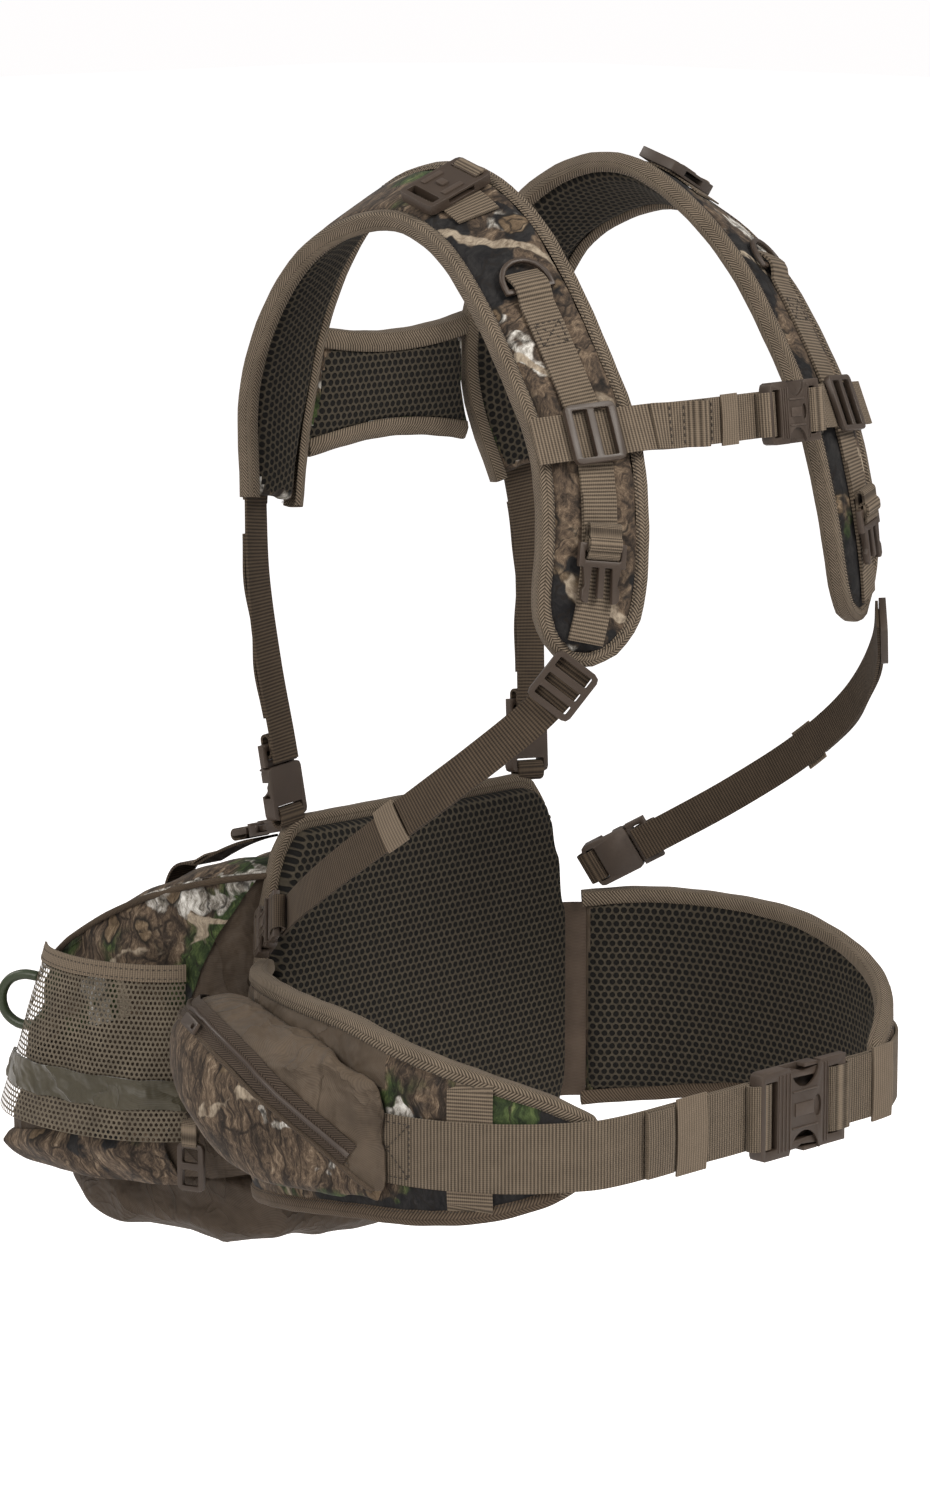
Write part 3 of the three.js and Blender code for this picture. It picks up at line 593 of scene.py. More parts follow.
def deselect():
    if bpy.context.object and bpy.context.object.mode != "OBJECT":
        bpy.ops.object.mode_set(mode="OBJECT")
    bpy.ops.object.select_all(action="DESELECT")


def take(piece):
    deselect()
    piece.select_set(True)
    bpy.context.view_layer.objects.active = piece
    return piece


def apply_modifier(piece, kind, **values):
    take(piece)
    modifier = piece.modifiers.new(kind.lower(), kind)
    for key, value in values.items():
        setattr(modifier, key, value)
    bpy.ops.object.modifier_apply(modifier=modifier.name)


def turn_over(piece):
    """Turns a sheet's faces to its other side."""
    take(piece)
    bpy.ops.object.mode_set(mode="EDIT")
    bpy.ops.mesh.select_all(action="SELECT")
    bpy.ops.mesh.flip_normals()
    bpy.ops.object.mode_set(mode="OBJECT")


def lay_map(piece, places):
    """A flat map in metres on a shaped piece, from one pair for each vertex."""
    cloth_map = piece.data.uv_layers.new(name="cloth").data
    for loop in piece.data.loops:
        cloth_map[loop.index].uv = places[loop.vertex_index]


def crumple(piece, depth, size, where=None):
    """Loose creases in cloth: sharp valleys between soft hollows of about the given size in millimetres."""
    moves = []
    for vertex in piece.data.vertices:
        at = vertex.co / (size * MM)
        crease = 0.55 - abs(noise.noise(Vector((at.x + 3, at.y * 0.6, at.z * 1.3)))) * 2.2
        small = noise.noise(at * 2.3) * 0.35
        share = where(vertex.co) if where else 1.0
        moves.append(vertex.normal * (crease + small) * depth * share * MM)
    for vertex, move in zip(piece.data.vertices, moves):
        vertex.co += move
    piece.data.update()


def keep(piece, name, body, finish, smooth=40):
    """Names a finished piece, gives it its finish and lets it move with a body."""
    piece.name = name
    piece.data.name = name
    if finish:
        piece.data.materials.clear()
        piece.data.materials.append(finish)
    take(piece)
    bpy.ops.object.shade_smooth_by_angle(angle=math.radians(smooth))
    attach(piece, body)
    return piece


def joined(pieces):
    deselect()
    for piece in pieces:
        piece.select_set(True)
    bpy.context.view_layer.objects.active = pieces[0]
    if len(pieces) > 1:
        bpy.ops.object.join()
    return pieces[0]


def flat_cloth(columns, rows, place, size, thick=0.0, offset=1.0):
    """A grid laid by place(u, v), u and v from 0 to 1, with a map in metres, and given a thickness."""
    deselect()
    bpy.ops.mesh.primitive_grid_add(x_subdivisions=columns, y_subdivisions=rows, size=1)
    piece = bpy.context.object
    mesh = piece.data
    spots = [(v.co.x + 0.5, v.co.y + 0.5) for v in mesh.vertices]
    cloth_map = mesh.uv_layers.active.data
    for loop in mesh.loops:
        u, v = spots[loop.vertex_index]
        cloth_map[loop.index].uv = (u * size[0], v * size[1])
    for vertex, (u, v) in zip(mesh.vertices, spots):
        vertex.co = place(u, v)
    if thick:
        apply_modifier(piece, "SOLIDIFY", thickness=thick * MM, offset=offset)
    return piece


def frame_of(at, along, out):
    """The place of a moulded piece: its X along the strap, its Z away from it."""
    x = along.normalized()
    z = (out - x * out.dot(x)).normalized()
    y = z.cross(x)
    return Matrix(((x.x, y.x, z.x, at.x), (x.y, y.y, z.y, at.y), (x.z, y.z, z.z, at.z), (0, 0, 0, 1)))


def set_down(piece, place):
    piece.data.transform(Matrix(piece.matrix_world))
    piece.matrix_world = Matrix.Identity(4)
    piece.data.transform(place)
    piece.data.update()
    return piece


def copy_of(*names):
    """A merged copy of one or more frame nodes, free to be worked on."""
    copies = []
    for name in names:
        copy = bpy.data.objects.new("copy", NODES[name].data.copy())
        bpy.context.scene.collection.objects.link(copy)
        copies.append(copy)
    piece = joined(copies)
    take(piece)
    bpy.ops.object.mode_set(mode="EDIT")
    bpy.ops.mesh.select_all(action="SELECT")
    bpy.ops.mesh.remove_doubles(threshold=0.00002)
    bpy.ops.object.mode_set(mode="OBJECT")
    piece.data.materials.clear()
    return piece


def strap(name, line, start, end, width, body, finish, lift=0.0, thick=WEB_THICK, crown=0.0, ripple=0.0,
          shift=0.0, rises=()):
    """Webbing laid flat along a line. rises are humps: middle share, half length and height."""
    length = line.length * (end - start) * MM
    columns = max(8, int(length / 0.003))

    def place(u, v):
        share = start + (end - start) * u
        spot = line.spot(share)
        high = lift + crown * (1 - (2 * v - 1) ** 2)
        for middle, half, tall in rises:
            near = abs(share - middle) / half
            if near < 1:
                high += tall * (1 - near ** 2) ** 1.5
        if ripple:
            high += ripple * math.sin(u * 9.4) * math.sin(u * 3.1) ** 2
        return spot.lifted(high, (v - 0.5) * width + shift)

    piece = flat_cloth(columns, 6, place, (length, width * MM))
    face_towards(piece, line, start, end)
    apply_modifier(piece, "SOLIDIFY", thickness=thick * MM, offset=1.0)
    return keep(piece, name, body, finish)


def face_towards(piece, line, start, end):
    """Turns a single sheet over if it faces away from the line's outer side."""
    middle = line.spot((start + end) / 2)
    near = min(piece.data.polygons, key=lambda p: (p.center - middle.at).length)
    if near.normal.dot(middle.out) < 0:
        turn_over(piece)


def bound_edge(name, places, half_thick, reach, body, finish, puff=1.0):
    """Tape folded round an edge. places(u) gives the edge's middle, its outward side and the cloth's normal."""
    count = 160
    marks = [places(i / count) for i in range(count + 1)]
    sums = [0.0]
    for before, after in zip(marks, marks[1:]):
        sums.append(sums[-1] + (after[0] - before[0]).length)

    def place(u, v):
        index = min(int(round(u * count)), count)
        at, outward, normal = marks[index]
        turn = (v - 0.5) * 2
        angle = turn * math.pi / 2
        flat = max(0.0, abs(turn) - 0.55) / 0.45
        pucker = 1 + 0.06 * math.sin(sums[index] * 260) * puff
        out = math.cos(angle) ** 0.6 * 2.2 * pucker - flat * reach
        high = math.copysign(min(1.0, abs(math.sin(angle)) ** 0.7) * (half_thick + 1.1 * puff * pucker), turn)
        if abs(turn) > 0.93:
            high *= (half_thick - 0.5) / (half_thick + 1.1 * puff)
        return at + (outward * out + normal * high) * MM

    piece = flat_cloth(count, 14, place, (sums[-1], 0.024))
    outward_mark = marks[count // 2]
    near = max((p for p in piece.data.polygons if (p.center - outward_mark[0]).length < 0.02),
               key=lambda p: (p.center - outward_mark[0]).dot(outward_mark[1]))
    if near.normal.dot(outward_mark[1]) < 0:
        turn_over(piece)
    apply_modifier(piece, "SOLIDIFY", thickness=0.7 * MM, offset=1.0)
    return keep(piece, name, body, finish, 60)


def stitch_row(name, points, normals, body, length=2.4, space=3.4, wide=0.45, closed=False):
    """A row of small thread stitches along points that lie on the cloth."""
    deselect()
    sums = [0.0]
    for before, after in zip(points, points[1:]):
        sums.append(sums[-1] + (after - before).length)
    total = sums[-1]
    count = max(1, int(total / (space * MM)))
    pieces = bmesh.new()
    for k in range(count):
        middle = (k + 0.5) * total / count
        i = next((j for j in range(1, len(sums)) if sums[j] >= middle), len(sums) - 1)
        span = sums[i] - sums[i - 1]
        if span < 1e-9:
            continue
        share = (middle - sums[i - 1]) / span
        at = points[i - 1].lerp(points[i], share)
        normal = normals[i - 1].lerp(normals[i], share)
        place = frame_of(at, points[i] - points[i - 1], normal)
        place = place @ Matrix.Diagonal((length * MM / 2, wide * MM, wide * MM * 0.8, 1))
        bmesh.ops.create_icosphere(pieces, subdivisions=1, radius=1, matrix=place)
    mesh = bpy.data.meshes.new(name)
    pieces.to_mesh(mesh)
    pieces.free()
    piece = bpy.data.objects.new(name, mesh)
    bpy.context.scene.collection.objects.link(piece)
    return keep(piece, name, body, FINISH["thread"], 80)


def stitches_on(name, line, marks, body, lift):
    """Stitches through a list of (share, across) marks on a line's surface."""
    points = []
    normals = []
    for (u0, a0), (u1, a1) in zip(marks, marks[1:]):
        steps = 8
        for k in range(steps + (1 if (u1, a1) == marks[-1] else 0)):
            t = k / steps
            spot = line.spot(u0 + (u1 - u0) * t)
            points.append(spot.lifted(lift, a0 + (a1 - a0) * t))
            normals.append(spot.out)
    return stitch_row(name, points, normals, body)


def box_stitch(name, line, middle, half_long, half_wide, body, lift):
    """A square of stitches with a cross in it."""
    step = half_long / line.length
    a, b = middle - step, middle + step
    h = half_wide
    marks = [(a, -h), (b, -h), (b, h), (a, h), (a, -h), (b, h)]
    first = stitches_on(name + "_box", line, marks, body, lift)
    second = stitches_on(name + "_cross", line, [(a, h), (b, -h)], body, lift)
    return first, second


# ---------------------------------------------------------------- stuffed pieces

def stuffed(name, nodes, body, cap=3.0, pressure=4.0, voxel=5.0, shrink=1.2, crease=0.0):
    """A frame node's shape sewn in cloth and filled, so that it swells a little everywhere but at its seams."""
    piece = copy_of(*nodes)
    take(piece)
    apply_modifier(piece, "REMESH", mode="VOXEL", voxel_size=voxel * MM)
    mesh = piece.data
    mesh.update()
    for vertex in mesh.vertices:
        vertex.co -= vertex.normal * shrink * MM
    rest = [v.co.copy() for v in mesh.vertices]
    take(piece)
    cloth = piece.modifiers.new("cloth", "CLOTH")
    cloth.settings.use_pressure = True
    cloth.settings.uniform_pressure_force = pressure
    cloth.settings.effector_weights.gravity = 0
    cloth.settings.quality = 4
    for number in range(1, 15):
        bpy.context.scene.frame_set(number)
    evaluated = piece.evaluated_get(bpy.context.evaluated_depsgraph_get())
    moved = [v.co.copy() for v in evaluated.data.vertices]
    piece.modifiers.remove(cloth)
    bpy.context.scene.frame_set(1)
    for vertex, start, end in zip(mesh.vertices, rest, moved):
        shift = end - start
        if shift.length > cap * MM:
            shift *= cap * MM / shift.length
        vertex.co = start + shift
    apply_modifier(piece, "CORRECTIVE_SMOOTH", iterations=4, use_only_smooth=True)
    apply_modifier(piece, "SUBSURF", levels=1, render_levels=1)
    keep(piece, name, body, None, 80)
    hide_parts(*nodes)
    return piece


def face_by(piece, outer, inner, is_outer, patch=None, in_patch=None):
    """Outer cloth where is_outer(face) holds, lining elsewhere, and a patch on the outer cloth."""
    piece.data.materials.clear()
    for cloth in (outer, inner, patch) if patch else (outer, inner):
        piece.data.materials.append(cloth)
    for polygon in piece.data.polygons:
        polygon.material_index = 0 if is_outer(polygon) else 1
        if patch and polygon.material_index == 0 and in_patch(polygon):
            polygon.material_index = 2


# ---------------------------------------------------------------- the lines of this pack, in millimetres

SHOULDER_ROWS = [
    (104, 144, 342, 0.25, 1, -0.05), (94, 151, 392, 0.2, 1, 0.05), (88, 142, 442, 0.22, 0.93, 0.3),
    (86, 114, 486, 0.3, 0.7, 0.65), (88, 76, 510, 0.42, 0.3, 0.87), (87, 32, 517, 0.42, -0.05, 0.9),
    (89, -8, 501, 0.36, -0.45, 0.8), (94, -42, 471, 0.32, -0.7, 0.6), (96, -69, 434, 0.3, -0.82, 0.46),
    (97, -91, 395, 0.3, -0.9, 0.3), (101, -101, 355, 0.32, -0.94, 0.1), (107, -104, 315, 0.36, -0.93, 0.0),
    (114, -101, 281, 0.42, -0.9, -0.06)]
SIDE_ROWS = [
    (119, -112, 284, 0.62, -0.78, 0.1), (135, -98, 258, 0.72, -0.68, 0.1), (158, -62, 221, 0.88, -0.45, 0.15),
    (168, -18, 187, 0.99, -0.08, 0.1), (165, 32, 154, 0.97, 0.2, 0.1), (153, 75, 127, 0.85, 0.5, 0.1),
    (136, 108, 106, 0.8, 0.6, 0.1), (126, 123, 97, 0.8, 0.6, 0.1)]
REAR_ROWS = [
    (105, 156, 346, 0.25, 1, -0.05), (109, 150, 300, 0.2, 1, -0.1), (106, 145, 250, 0.1, 1, -0.15),
    (101, 139, 205, 0.1, 1, -0.2), (97, 133, 156, 0, 1, -0.2)]
REAR_ANCHOR_ROWS = [
    (99, 160, 370, 0.22, 1, 0), (102, 158.6, 357, 0.23, 1, -0.03), (105, 156.3, 341, 0.25, 1, -0.05)]
LID_ROWS = [
    (67, 150, 144, 0, 0.2, 1), (67, 175, 140, 0, 0.25, 1), (67, 205, 132, 0, 0.35, 1),
    (67, 240, 115, 0, 0.55, 0.9), (67, 275, 90, 0, 0.8, 0.7), (67, 308, 56, 0, 0.95, 0.35)]
YOKE_ROWS = [
    (-78, 160, 400, -0.12, 1, 0.1), (-50, 156.5, 400, -0.06, 1, 0.1), (0, 157, 400, 0, 1, 0.1),
    (50, 156.5, 400, 0.06, 1, 0.1), (78, 160, 400, 0.12, 1, 0.1)]
WING_ROWS = [
    (125.5, 120, -46, 84), (151, 97, -44, 86), (171, 50, -36, 86), (177, 0, -28, 83),
    (173, -44, -24, 72), (157, -78, -19, 61), (136, -100, -10, 50), (114, -113, 4, 36)]
POCKET_ROWS = [
    (0.07, 26, 70, 36), (0.15, 2, 82, 47), (0.28, -16, 83, 46), (0.4, -23, 80, 36),
    (0.5, -24, 76, 24), (0.58, -22, 68, 11), (0.64, -19, 52, 3)]
BELT_FRONT = [(104, -127.4), (85, -128), (60, -127.6), (20, -127.2), (-20, -127)]
BAG_FRONT = 142
BAG_HALF = [
    (60, BAG_FRONT), (116, BAG_FRONT), (130, 152), (147, 175), (162, 205), (169, 242),
    (170, 280), (163, 313), (138, 330), (95, 335), (40, 336)]
BAG_MIDDLE = 225
LID_WIDE = 0.94
LID_DEEP = 0.83
LID_MIDDLE = BAG_MIDDLE - 10
NET_BOTTOM = -26
NET_TOP = 76
NET_BULGE = 14
NET_BOTTOM_ROWS = [(148, 170), (163, 202), (171, 240), (172, 282), (163, 317)]
NET_TOP_ROWS = [(145, 174), (155, 199), (161, 228), (160, 258), (151, 283)]
PANEL_HALF = [(100, -66), (114, -58), (121, -38), (122, 70), (118, 106), (108, 140), (98, 154), (90, 158)]


def bag_top(y):
    return 126 - 80 * (max(0, y - BAG_FRONT) / 158) ** 1.6


def bag_bottom(y):
    return -48 - 15 * (y - BAG_FRONT) / 190


def in_row(x, y, z):
    return Vector((x, y - BACK_PLANE, z)) * MM


def pad_half_width(u):
    tip = math.sqrt(max(0, 1 - ((u - 0.93) / 0.0705) ** 2))
    wide = max(0.22, min(1, tip)) if u > 0.93 else 1
    return PAD_HALF * wide * (0.8 + 0.2 * u / 0.12 if u < 0.12 else 1)


class WingLine:
    """The hip wing's inner face seen from above, with its bottom and top."""

    def __init__(self, sign):
        self.sign = sign
        self.plan = Line([(x, y, 0, 0, 0, 1) for x, y, _, _ in WING_ROWS], sign)
        self.edges = [Vector((low, high, 0)) for _, _, low, high in WING_ROWS]

    def spot(self, u):
        spot = self.plan.spot(u)
        spot.out = Vector((-spot.along.y, spot.along.x, 0)) * self.sign
        edge = curve_point(self.edges, self.plan.turn_of(u))
        spot.low, spot.high = edge.x, edge.y
        return spot

    def at(self, u, out, z):
        spot = self.spot(u)
        place = spot.at + spot.out * out * MM
        place.z = z * MM
        return place


def pocket_size(u):
    sizes = [Vector(row[1:]) for row in POCKET_ROWS]
    first, last = POCKET_ROWS[0][0], POCKET_ROWS[-1][0]
    size = curve_point(sizes, min(1, max(0, (u - first) / (last - first))))
    return size.x, size.y, size.z


# ---------------------------------------------------------------- moulded pieces

def moulded(name, body, bevel=0.7, segments=2, cutters=()):
    """A frame node's moulding with its edges rounded and its sides smoothed, less what the cutters take out."""
    piece = copy_of(name)
    take(piece)
    bpy.ops.object.mode_set(mode="EDIT")
    bpy.ops.mesh.select_all(action="SELECT")
    bpy.ops.mesh.dissolve_limited(angle_limit=math.radians(2))
    bpy.ops.object.mode_set(mode="OBJECT")
    for cutter in cutters:
        apply_modifier(piece, "BOOLEAN", operation="DIFFERENCE", solver="EXACT", object=cutter)
        bpy.data.objects.remove(cutter)
    apply_modifier(piece, "BEVEL", width=bevel * MM, segments=segments, limit_method="ANGLE",
                   angle_limit=math.radians(32), harden_normals=False, use_clamp_overlap=True)
    keep(piece, f"{name}_moulding", body, FINISH["plastic"], 35)
    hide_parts(name)
    return piece


def round_cutter(size, at, place):
    """An oval punch, given in a moulding's own millimetres."""
    deselect()
    bpy.ops.mesh.primitive_cylinder_add(vertices=28, radius=0.5, depth=1)
    punch = bpy.context.object
    punch.scale = Vector(size) * MM
    punch.location = Vector(at) * MM
    bpy.ops.object.transform_apply(location=True, rotation=True, scale=True)
    return set_down(punch, place)


def bar_block(size, at, bevel=0.4, place=None):
    """A small rounded block, given in a moulding's own millimetres and set down with it."""
    deselect()
    bpy.ops.mesh.primitive_cube_add(size=1)
    block = bpy.context.object
    block.scale = Vector(size) * MM
    block.location = Vector(at) * MM
    bpy.ops.object.transform_apply(location=True, rotation=True, scale=True)
    apply_modifier(block, "BEVEL", width=bevel * MM, segments=2)
    if place:
        set_down(block, place)
    return block


def buckle_sizes(web):
    length = 42 if web == CHEST_WEB else 12 + 1.6 * web
    return {"socket": 0.7 * length, "base": 0.3 * length, "half": 0.625 * web + 1.2,
            "reach": 0.42 * length, "tongue": 2.1 + 0.076 * web}


def webbing_loop(name, width, low_x, high_x, low_z, high_z, place, body, finish, thick=1.5):
    """Webbing turned round a bar: a flat loop seen from its side as a long round-ended ring."""
    radius = (high_z - low_z) / 2
    middle = (high_z + low_z) / 2
    ring = []
    for k in range(9):
        angle = math.pi / 2 + math.pi * k / 8
        ring.append((low_x + radius + radius * math.cos(angle), middle + radius * math.sin(angle)))
    for k in range(9):
        angle = -math.pi / 2 + math.pi * k / 8
        ring.append((high_x - radius + radius * math.cos(angle), middle + radius * math.sin(angle)))
    ring.append(ring[0])
    sums = [0]
    for a, b in zip(ring, ring[1:]):
        sums.append(sums[-1] + math.dist(a, b))
    count = len(ring) - 1

    def lay(u, v):
        index = round(u * count)
        x, z = ring[index]
        return place @ (Vector((x, (v - 0.5) * width, z)) * MM)

    piece = flat_cloth(count, 2, lay, (sums[-1] * MM, width * MM))
    take(piece)
    bpy.ops.object.mode_set(mode="EDIT")
    bpy.ops.mesh.select_all(action="SELECT")
    bpy.ops.mesh.remove_doubles(threshold=0.00002)
    bpy.ops.mesh.normals_make_consistent(inside=False)
    bpy.ops.object.mode_set(mode="OBJECT")
    apply_modifier(piece, "SOLIDIFY", thickness=thick * MM, offset=-1.0)
    return keep(piece, name, body, finish, 60)


def dress_buckle(name, web, mouth, along, out, socket_body, insert_body, finish):
    """A side-release buckle: rounded halves, a ribbed guard, a raised centre plate and the webbing in its bars."""
    size = buckle_sizes(web)
    place = frame_of(mouth + out.normalized() * STRAP_DROP * MM, along, out)
    roof = 0.9 + size["tongue"] + 1.6
    notches = [round_cutter((0.5 * size["socket"], 1.2 * size["half"], 12),
                            (-0.29 * size["socket"], turn * 1.1 * size["half"], size["tongue"] + 6.9), place)
               for turn in (-1, 1)]
    notches.append(round_cutter((0.12 * size["socket"], 0.5 * size["half"], 12),
                                (-0.08 * size["socket"], 0, size["tongue"] + 7.1), place))
    moulded(f"{name}_socket", socket_body, bevel=0.8 if web > 30 else 0.5, cutters=notches)
    moulded(f"{name}_insert", insert_body, bevel=0.7 if web > 30 else 0.5)
    parts = []
    guard = size["socket"]
    for k in range(4):
        parts.append(bar_block((0.9, 2 * size["half"] - 6, 0.7), (-guard * (0.53 + 0.06 * k), 0, roof + 0.1),
                               0.25, place))
    parts.append(bar_block((0.3 * guard, 0.3 * size["half"], 0.8), (-0.3 * guard, 0, roof + 0.15), 0.35, place))
    for turn in (-1, 1):
        parts.append(bar_block((0.42 * guard, 1.1, 0.9), (-0.28 * guard, turn * 0.42 * size["half"], roof + 0.1),
                               0.4, place))
    ribs = keep(joined(parts), f"{name}_socket_ribs", socket_body, FINISH["plastic"], 35)
    grips = []
    base = size["base"]
    for k in range(3):
        grips.append(bar_block((0.8, 2 * size["half"] - 4, 0.6), (0.08 * base + 0.11 * base * k, 0,
                               0.5 + size["tongue"] + 0.05), 0.2, place))
    keep(joined(grips), f"{name}_insert_ribs", insert_body, FINISH["plastic"], 35)
    bar = -0.83 * guard
    webbing_loop(f"{name}_socket_loop", web - 1, -guard - 5, -0.77 * guard, -STRAP_DROP + 0.9,
                 roof - 0.3, place, socket_body, finish)
    webbing_loop(f"{name}_insert_loop", web - 1, 0.36 * base, base + 6, -STRAP_DROP + 1.0,
                 size["tongue"] + 1.3, place, insert_body, finish)
    return ribs


# ---------------------------------------------------------------- shoulder harness

def edge_loop(marks, lift, line):
    """Even places along marks of (share, across) on a line, with the edge's outward side and the cloth's normal."""
    raw = [(line.spot(u), across) for u, across in marks]
    points = [spot.lifted(lift, across) for spot, across in raw]
    sums = [0.0]
    for a, b in zip(points, points[1:]):
        sums.append(sums[-1] + (b - a).length)

    def sample(goal):
        i = next((j for j in range(1, len(sums)) if sums[j] >= goal), len(sums) - 1)
        span = sums[i] - sums[i - 1]
        share = (goal - sums[i - 1]) / span if span > 1e-9 else 0
        return (points[i - 1].lerp(points[i], share), raw[i - 1][0].out.lerp(raw[i][0].out, share),
                raw[i - 1][0].at.lerp(raw[i][0].at, share))

    def places(u):
        goal = u * sums[-1]
        at, out, centre = sample(goal)
        ahead = sample(min(goal + 0.004, sums[-1]))[0]
        behind = sample(max(goal - 0.004, 0))[0]
        along = (ahead - behind).normalized()
        side = along.cross(out).normalized()
        if side.dot(at - centre) < 0:
            side = -side
        return at, side, out.normalized()

    return places


def pinch_edges(piece, line, half_width, middle=0.5, rim=13.0, least=0.5, count=90):
    """Draws a pad thin towards its sewn edges, so that its cloth stands crowned between them."""
    spots = [(i / count, line.spot(i / count)) for i in range(count + 1)]
    places = []
    for vertex in piece.data.vertices:
        u, spot = min(spots, key=lambda s: (s[1].at - vertex.co).length_squared)
        away = vertex.co - spot.at
        places.append((u * line.length * MM + away.dot(spot.along), away.dot(spot.across)))
        lift = away.dot(spot.out) / MM
        inside = half_width(u) - abs(away.dot(spot.across)) / MM
        inside = min(inside, (1.0 - u) * line.length + 4)
        share = min(1.0, max(0.0, inside / rim))
        share = least + (1 - least) * math.sin(share * math.pi / 2)
        vertex.co += spot.out * (middle + (lift - middle) * share - lift) * MM
    lay_map(piece, places)


def on_outer_side(line, count=60, lift=-2.5, start=0.0):
    """A test for the faces that lie on the outer half of a pad."""
    spots = [line.spot(start + (1 - start) * i / count) for i in range(count + 1)]

    def test(polygon):
        spot = min(spots, key=lambda s: (s.at - polygon.center).length_squared)
        return (polygon.center - spot.at).dot(spot.out) > lift * MM
    return test


def make_shoulder_pad(side, sign):
    line = Line(SHOULDER_ROWS, sign)
    pad = stuffed(f"pad_{side}", [f"shoulder_pad_{side}", f"shoulder_lining_{side}"], "pack",
                  cap=1.6, shrink=1.2)
    pinch_edges(pad, line, pad_half_width)
    face_by(pad, FINISH["camo_pads"], FINISH["air_mesh"], on_outer_side(line))
    steps = [i / 60 for i in range(61)]
    marks = [(u, -pad_half_width(u) + 0.6) for u in steps] + [(u, pad_half_width(u) - 0.6) for u in reversed(steps)]
    places = edge_loop(marks, 0.5, line)
    bound_edge(f"pad_binding_{side}", places, 4.0, 5.0, "pack", FINISH["twill"])
    points = []
    normals = []
    for i in range(201):
        at, outward, normal = places(i / 200)
        points.append(at - outward * 4.4 * MM + normal * 5.5 * MM)
        normals.append(normal)
    stitch_row(f"pad_stitches_{side}", points, normals, "pack", 2.2, 3.2, 0.3)
    return line


def make_shoulder_webbing(side, line):
    ring = line.at_height(468)
    end = line.at_height(292)
    surface = PAD_FACE + LAY
    strap(f"shoulder_web_{side}", line, ring - 0.018, end, STRAP_WEB, "pack", FINISH["webbing"],
          lift=surface, crown=0.2, rises=[(ring, 0.017, 4.3)])
    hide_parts(f"shoulder_webbing_{side}")
    top = surface + WEB_THICK + 0.25
    for label, height, half_long in (("upper", 446, 6.5), ("lower", 358, 6.0)):
        box_stitch(f"web_{label}_{side}", line, line.at_height(height), half_long, 7.5, "pack", top)
    strap(f"web_patch_{side}", line, line.at_height(368), line.at_height(348), STRAP_WEB - 0.6, "pack",
          FINISH["webbing"], lift=surface + WEB_THICK + 0.05, thick=1.0)


def make_sternum(side, sign, line):
    """The slider's webbing, from the outer edge of the pad to the middle buckle."""
    spot = line.spot(line.at_height(CHEST_HEIGHT))
    lift = PAD_FACE + LAY + WEB_THICK + GAP + 0.2
    edge = spot.lifted(lift, sign * 33)
    normal = Vector((0, -1, 0.1)).normalized()
    end_x = CHEST_MOUTH_X - 20 if sign < 0 else CHEST_MOUTH_X + GAP
    rows = [(spot.lifted(lift, sign * inward), spot.out) for inward in (-34, -12, 12, 33)]
    for x in (50, end_x * sign):
        rows.append((Vector((sign * x * MM, edge.y - 3 * MM, edge.z)), normal))
    row_list = [(p.x / MM, p.y / MM + BACK_PLANE, p.z / MM, n.x, n.y, n.z) for p, n in rows]
    return Line(row_list), row_list


def make_chest(lines):
    straps = {side: make_sternum(side, sign, lines[side]) for side, sign in SIDES.items()}
    for side, (line, rows) in straps.items():
        piece = strap(f"sternum_web_{side}", line, 0, 1, CHEST_WEB, "sternum_strap", FINISH["webbing"])
        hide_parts(f"sternum_strap_{side}")
        moulded(f"chest_slider_{side}", "sternum_strap", bevel=0.9)
        if side == "left":
            tuple(line.spot(0.3).at)
            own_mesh(piece)
    right = straps["right"][0]
    upper = strap("sternum_web_doubled", right, 0.44, 0.985, CHEST_WEB - 0.4, "sternum_strap", FINISH["webbing"],
                  lift=WEB_THICK + 0.1, rises=[(0.62, 0.045, 8.5)])
    strap("sternum_keeper", right, 0.735, 0.815, CHEST_WEB + 2.5, "sternum_strap", FINISH["elastic"],
          lift=2 * WEB_THICK + 0.2, thick=1.1, crown=0.5)
    for mark in (0.5, 0.56, 0.69):
        stitches_on(f"sternum_seam_{int(mark * 100)}", right, [(mark, -11), (mark, 11)], "sternum_strap",
                    2 * WEB_THICK + 0.3)
    end = straps["right"][1][-1]
    out = Vector(end[3:]).normalized()
    mouth = in_row(CHEST_MOUTH_X, end[1], end[2]) + out * WEB_THICK / 2 * MM
    dress_buckle("sternum", CHEST_WEB, mouth, Vector((1, 0, 0)), out, "sternum_strap", "sternum_insert",
                 FINISH["webbing"])
    return upper


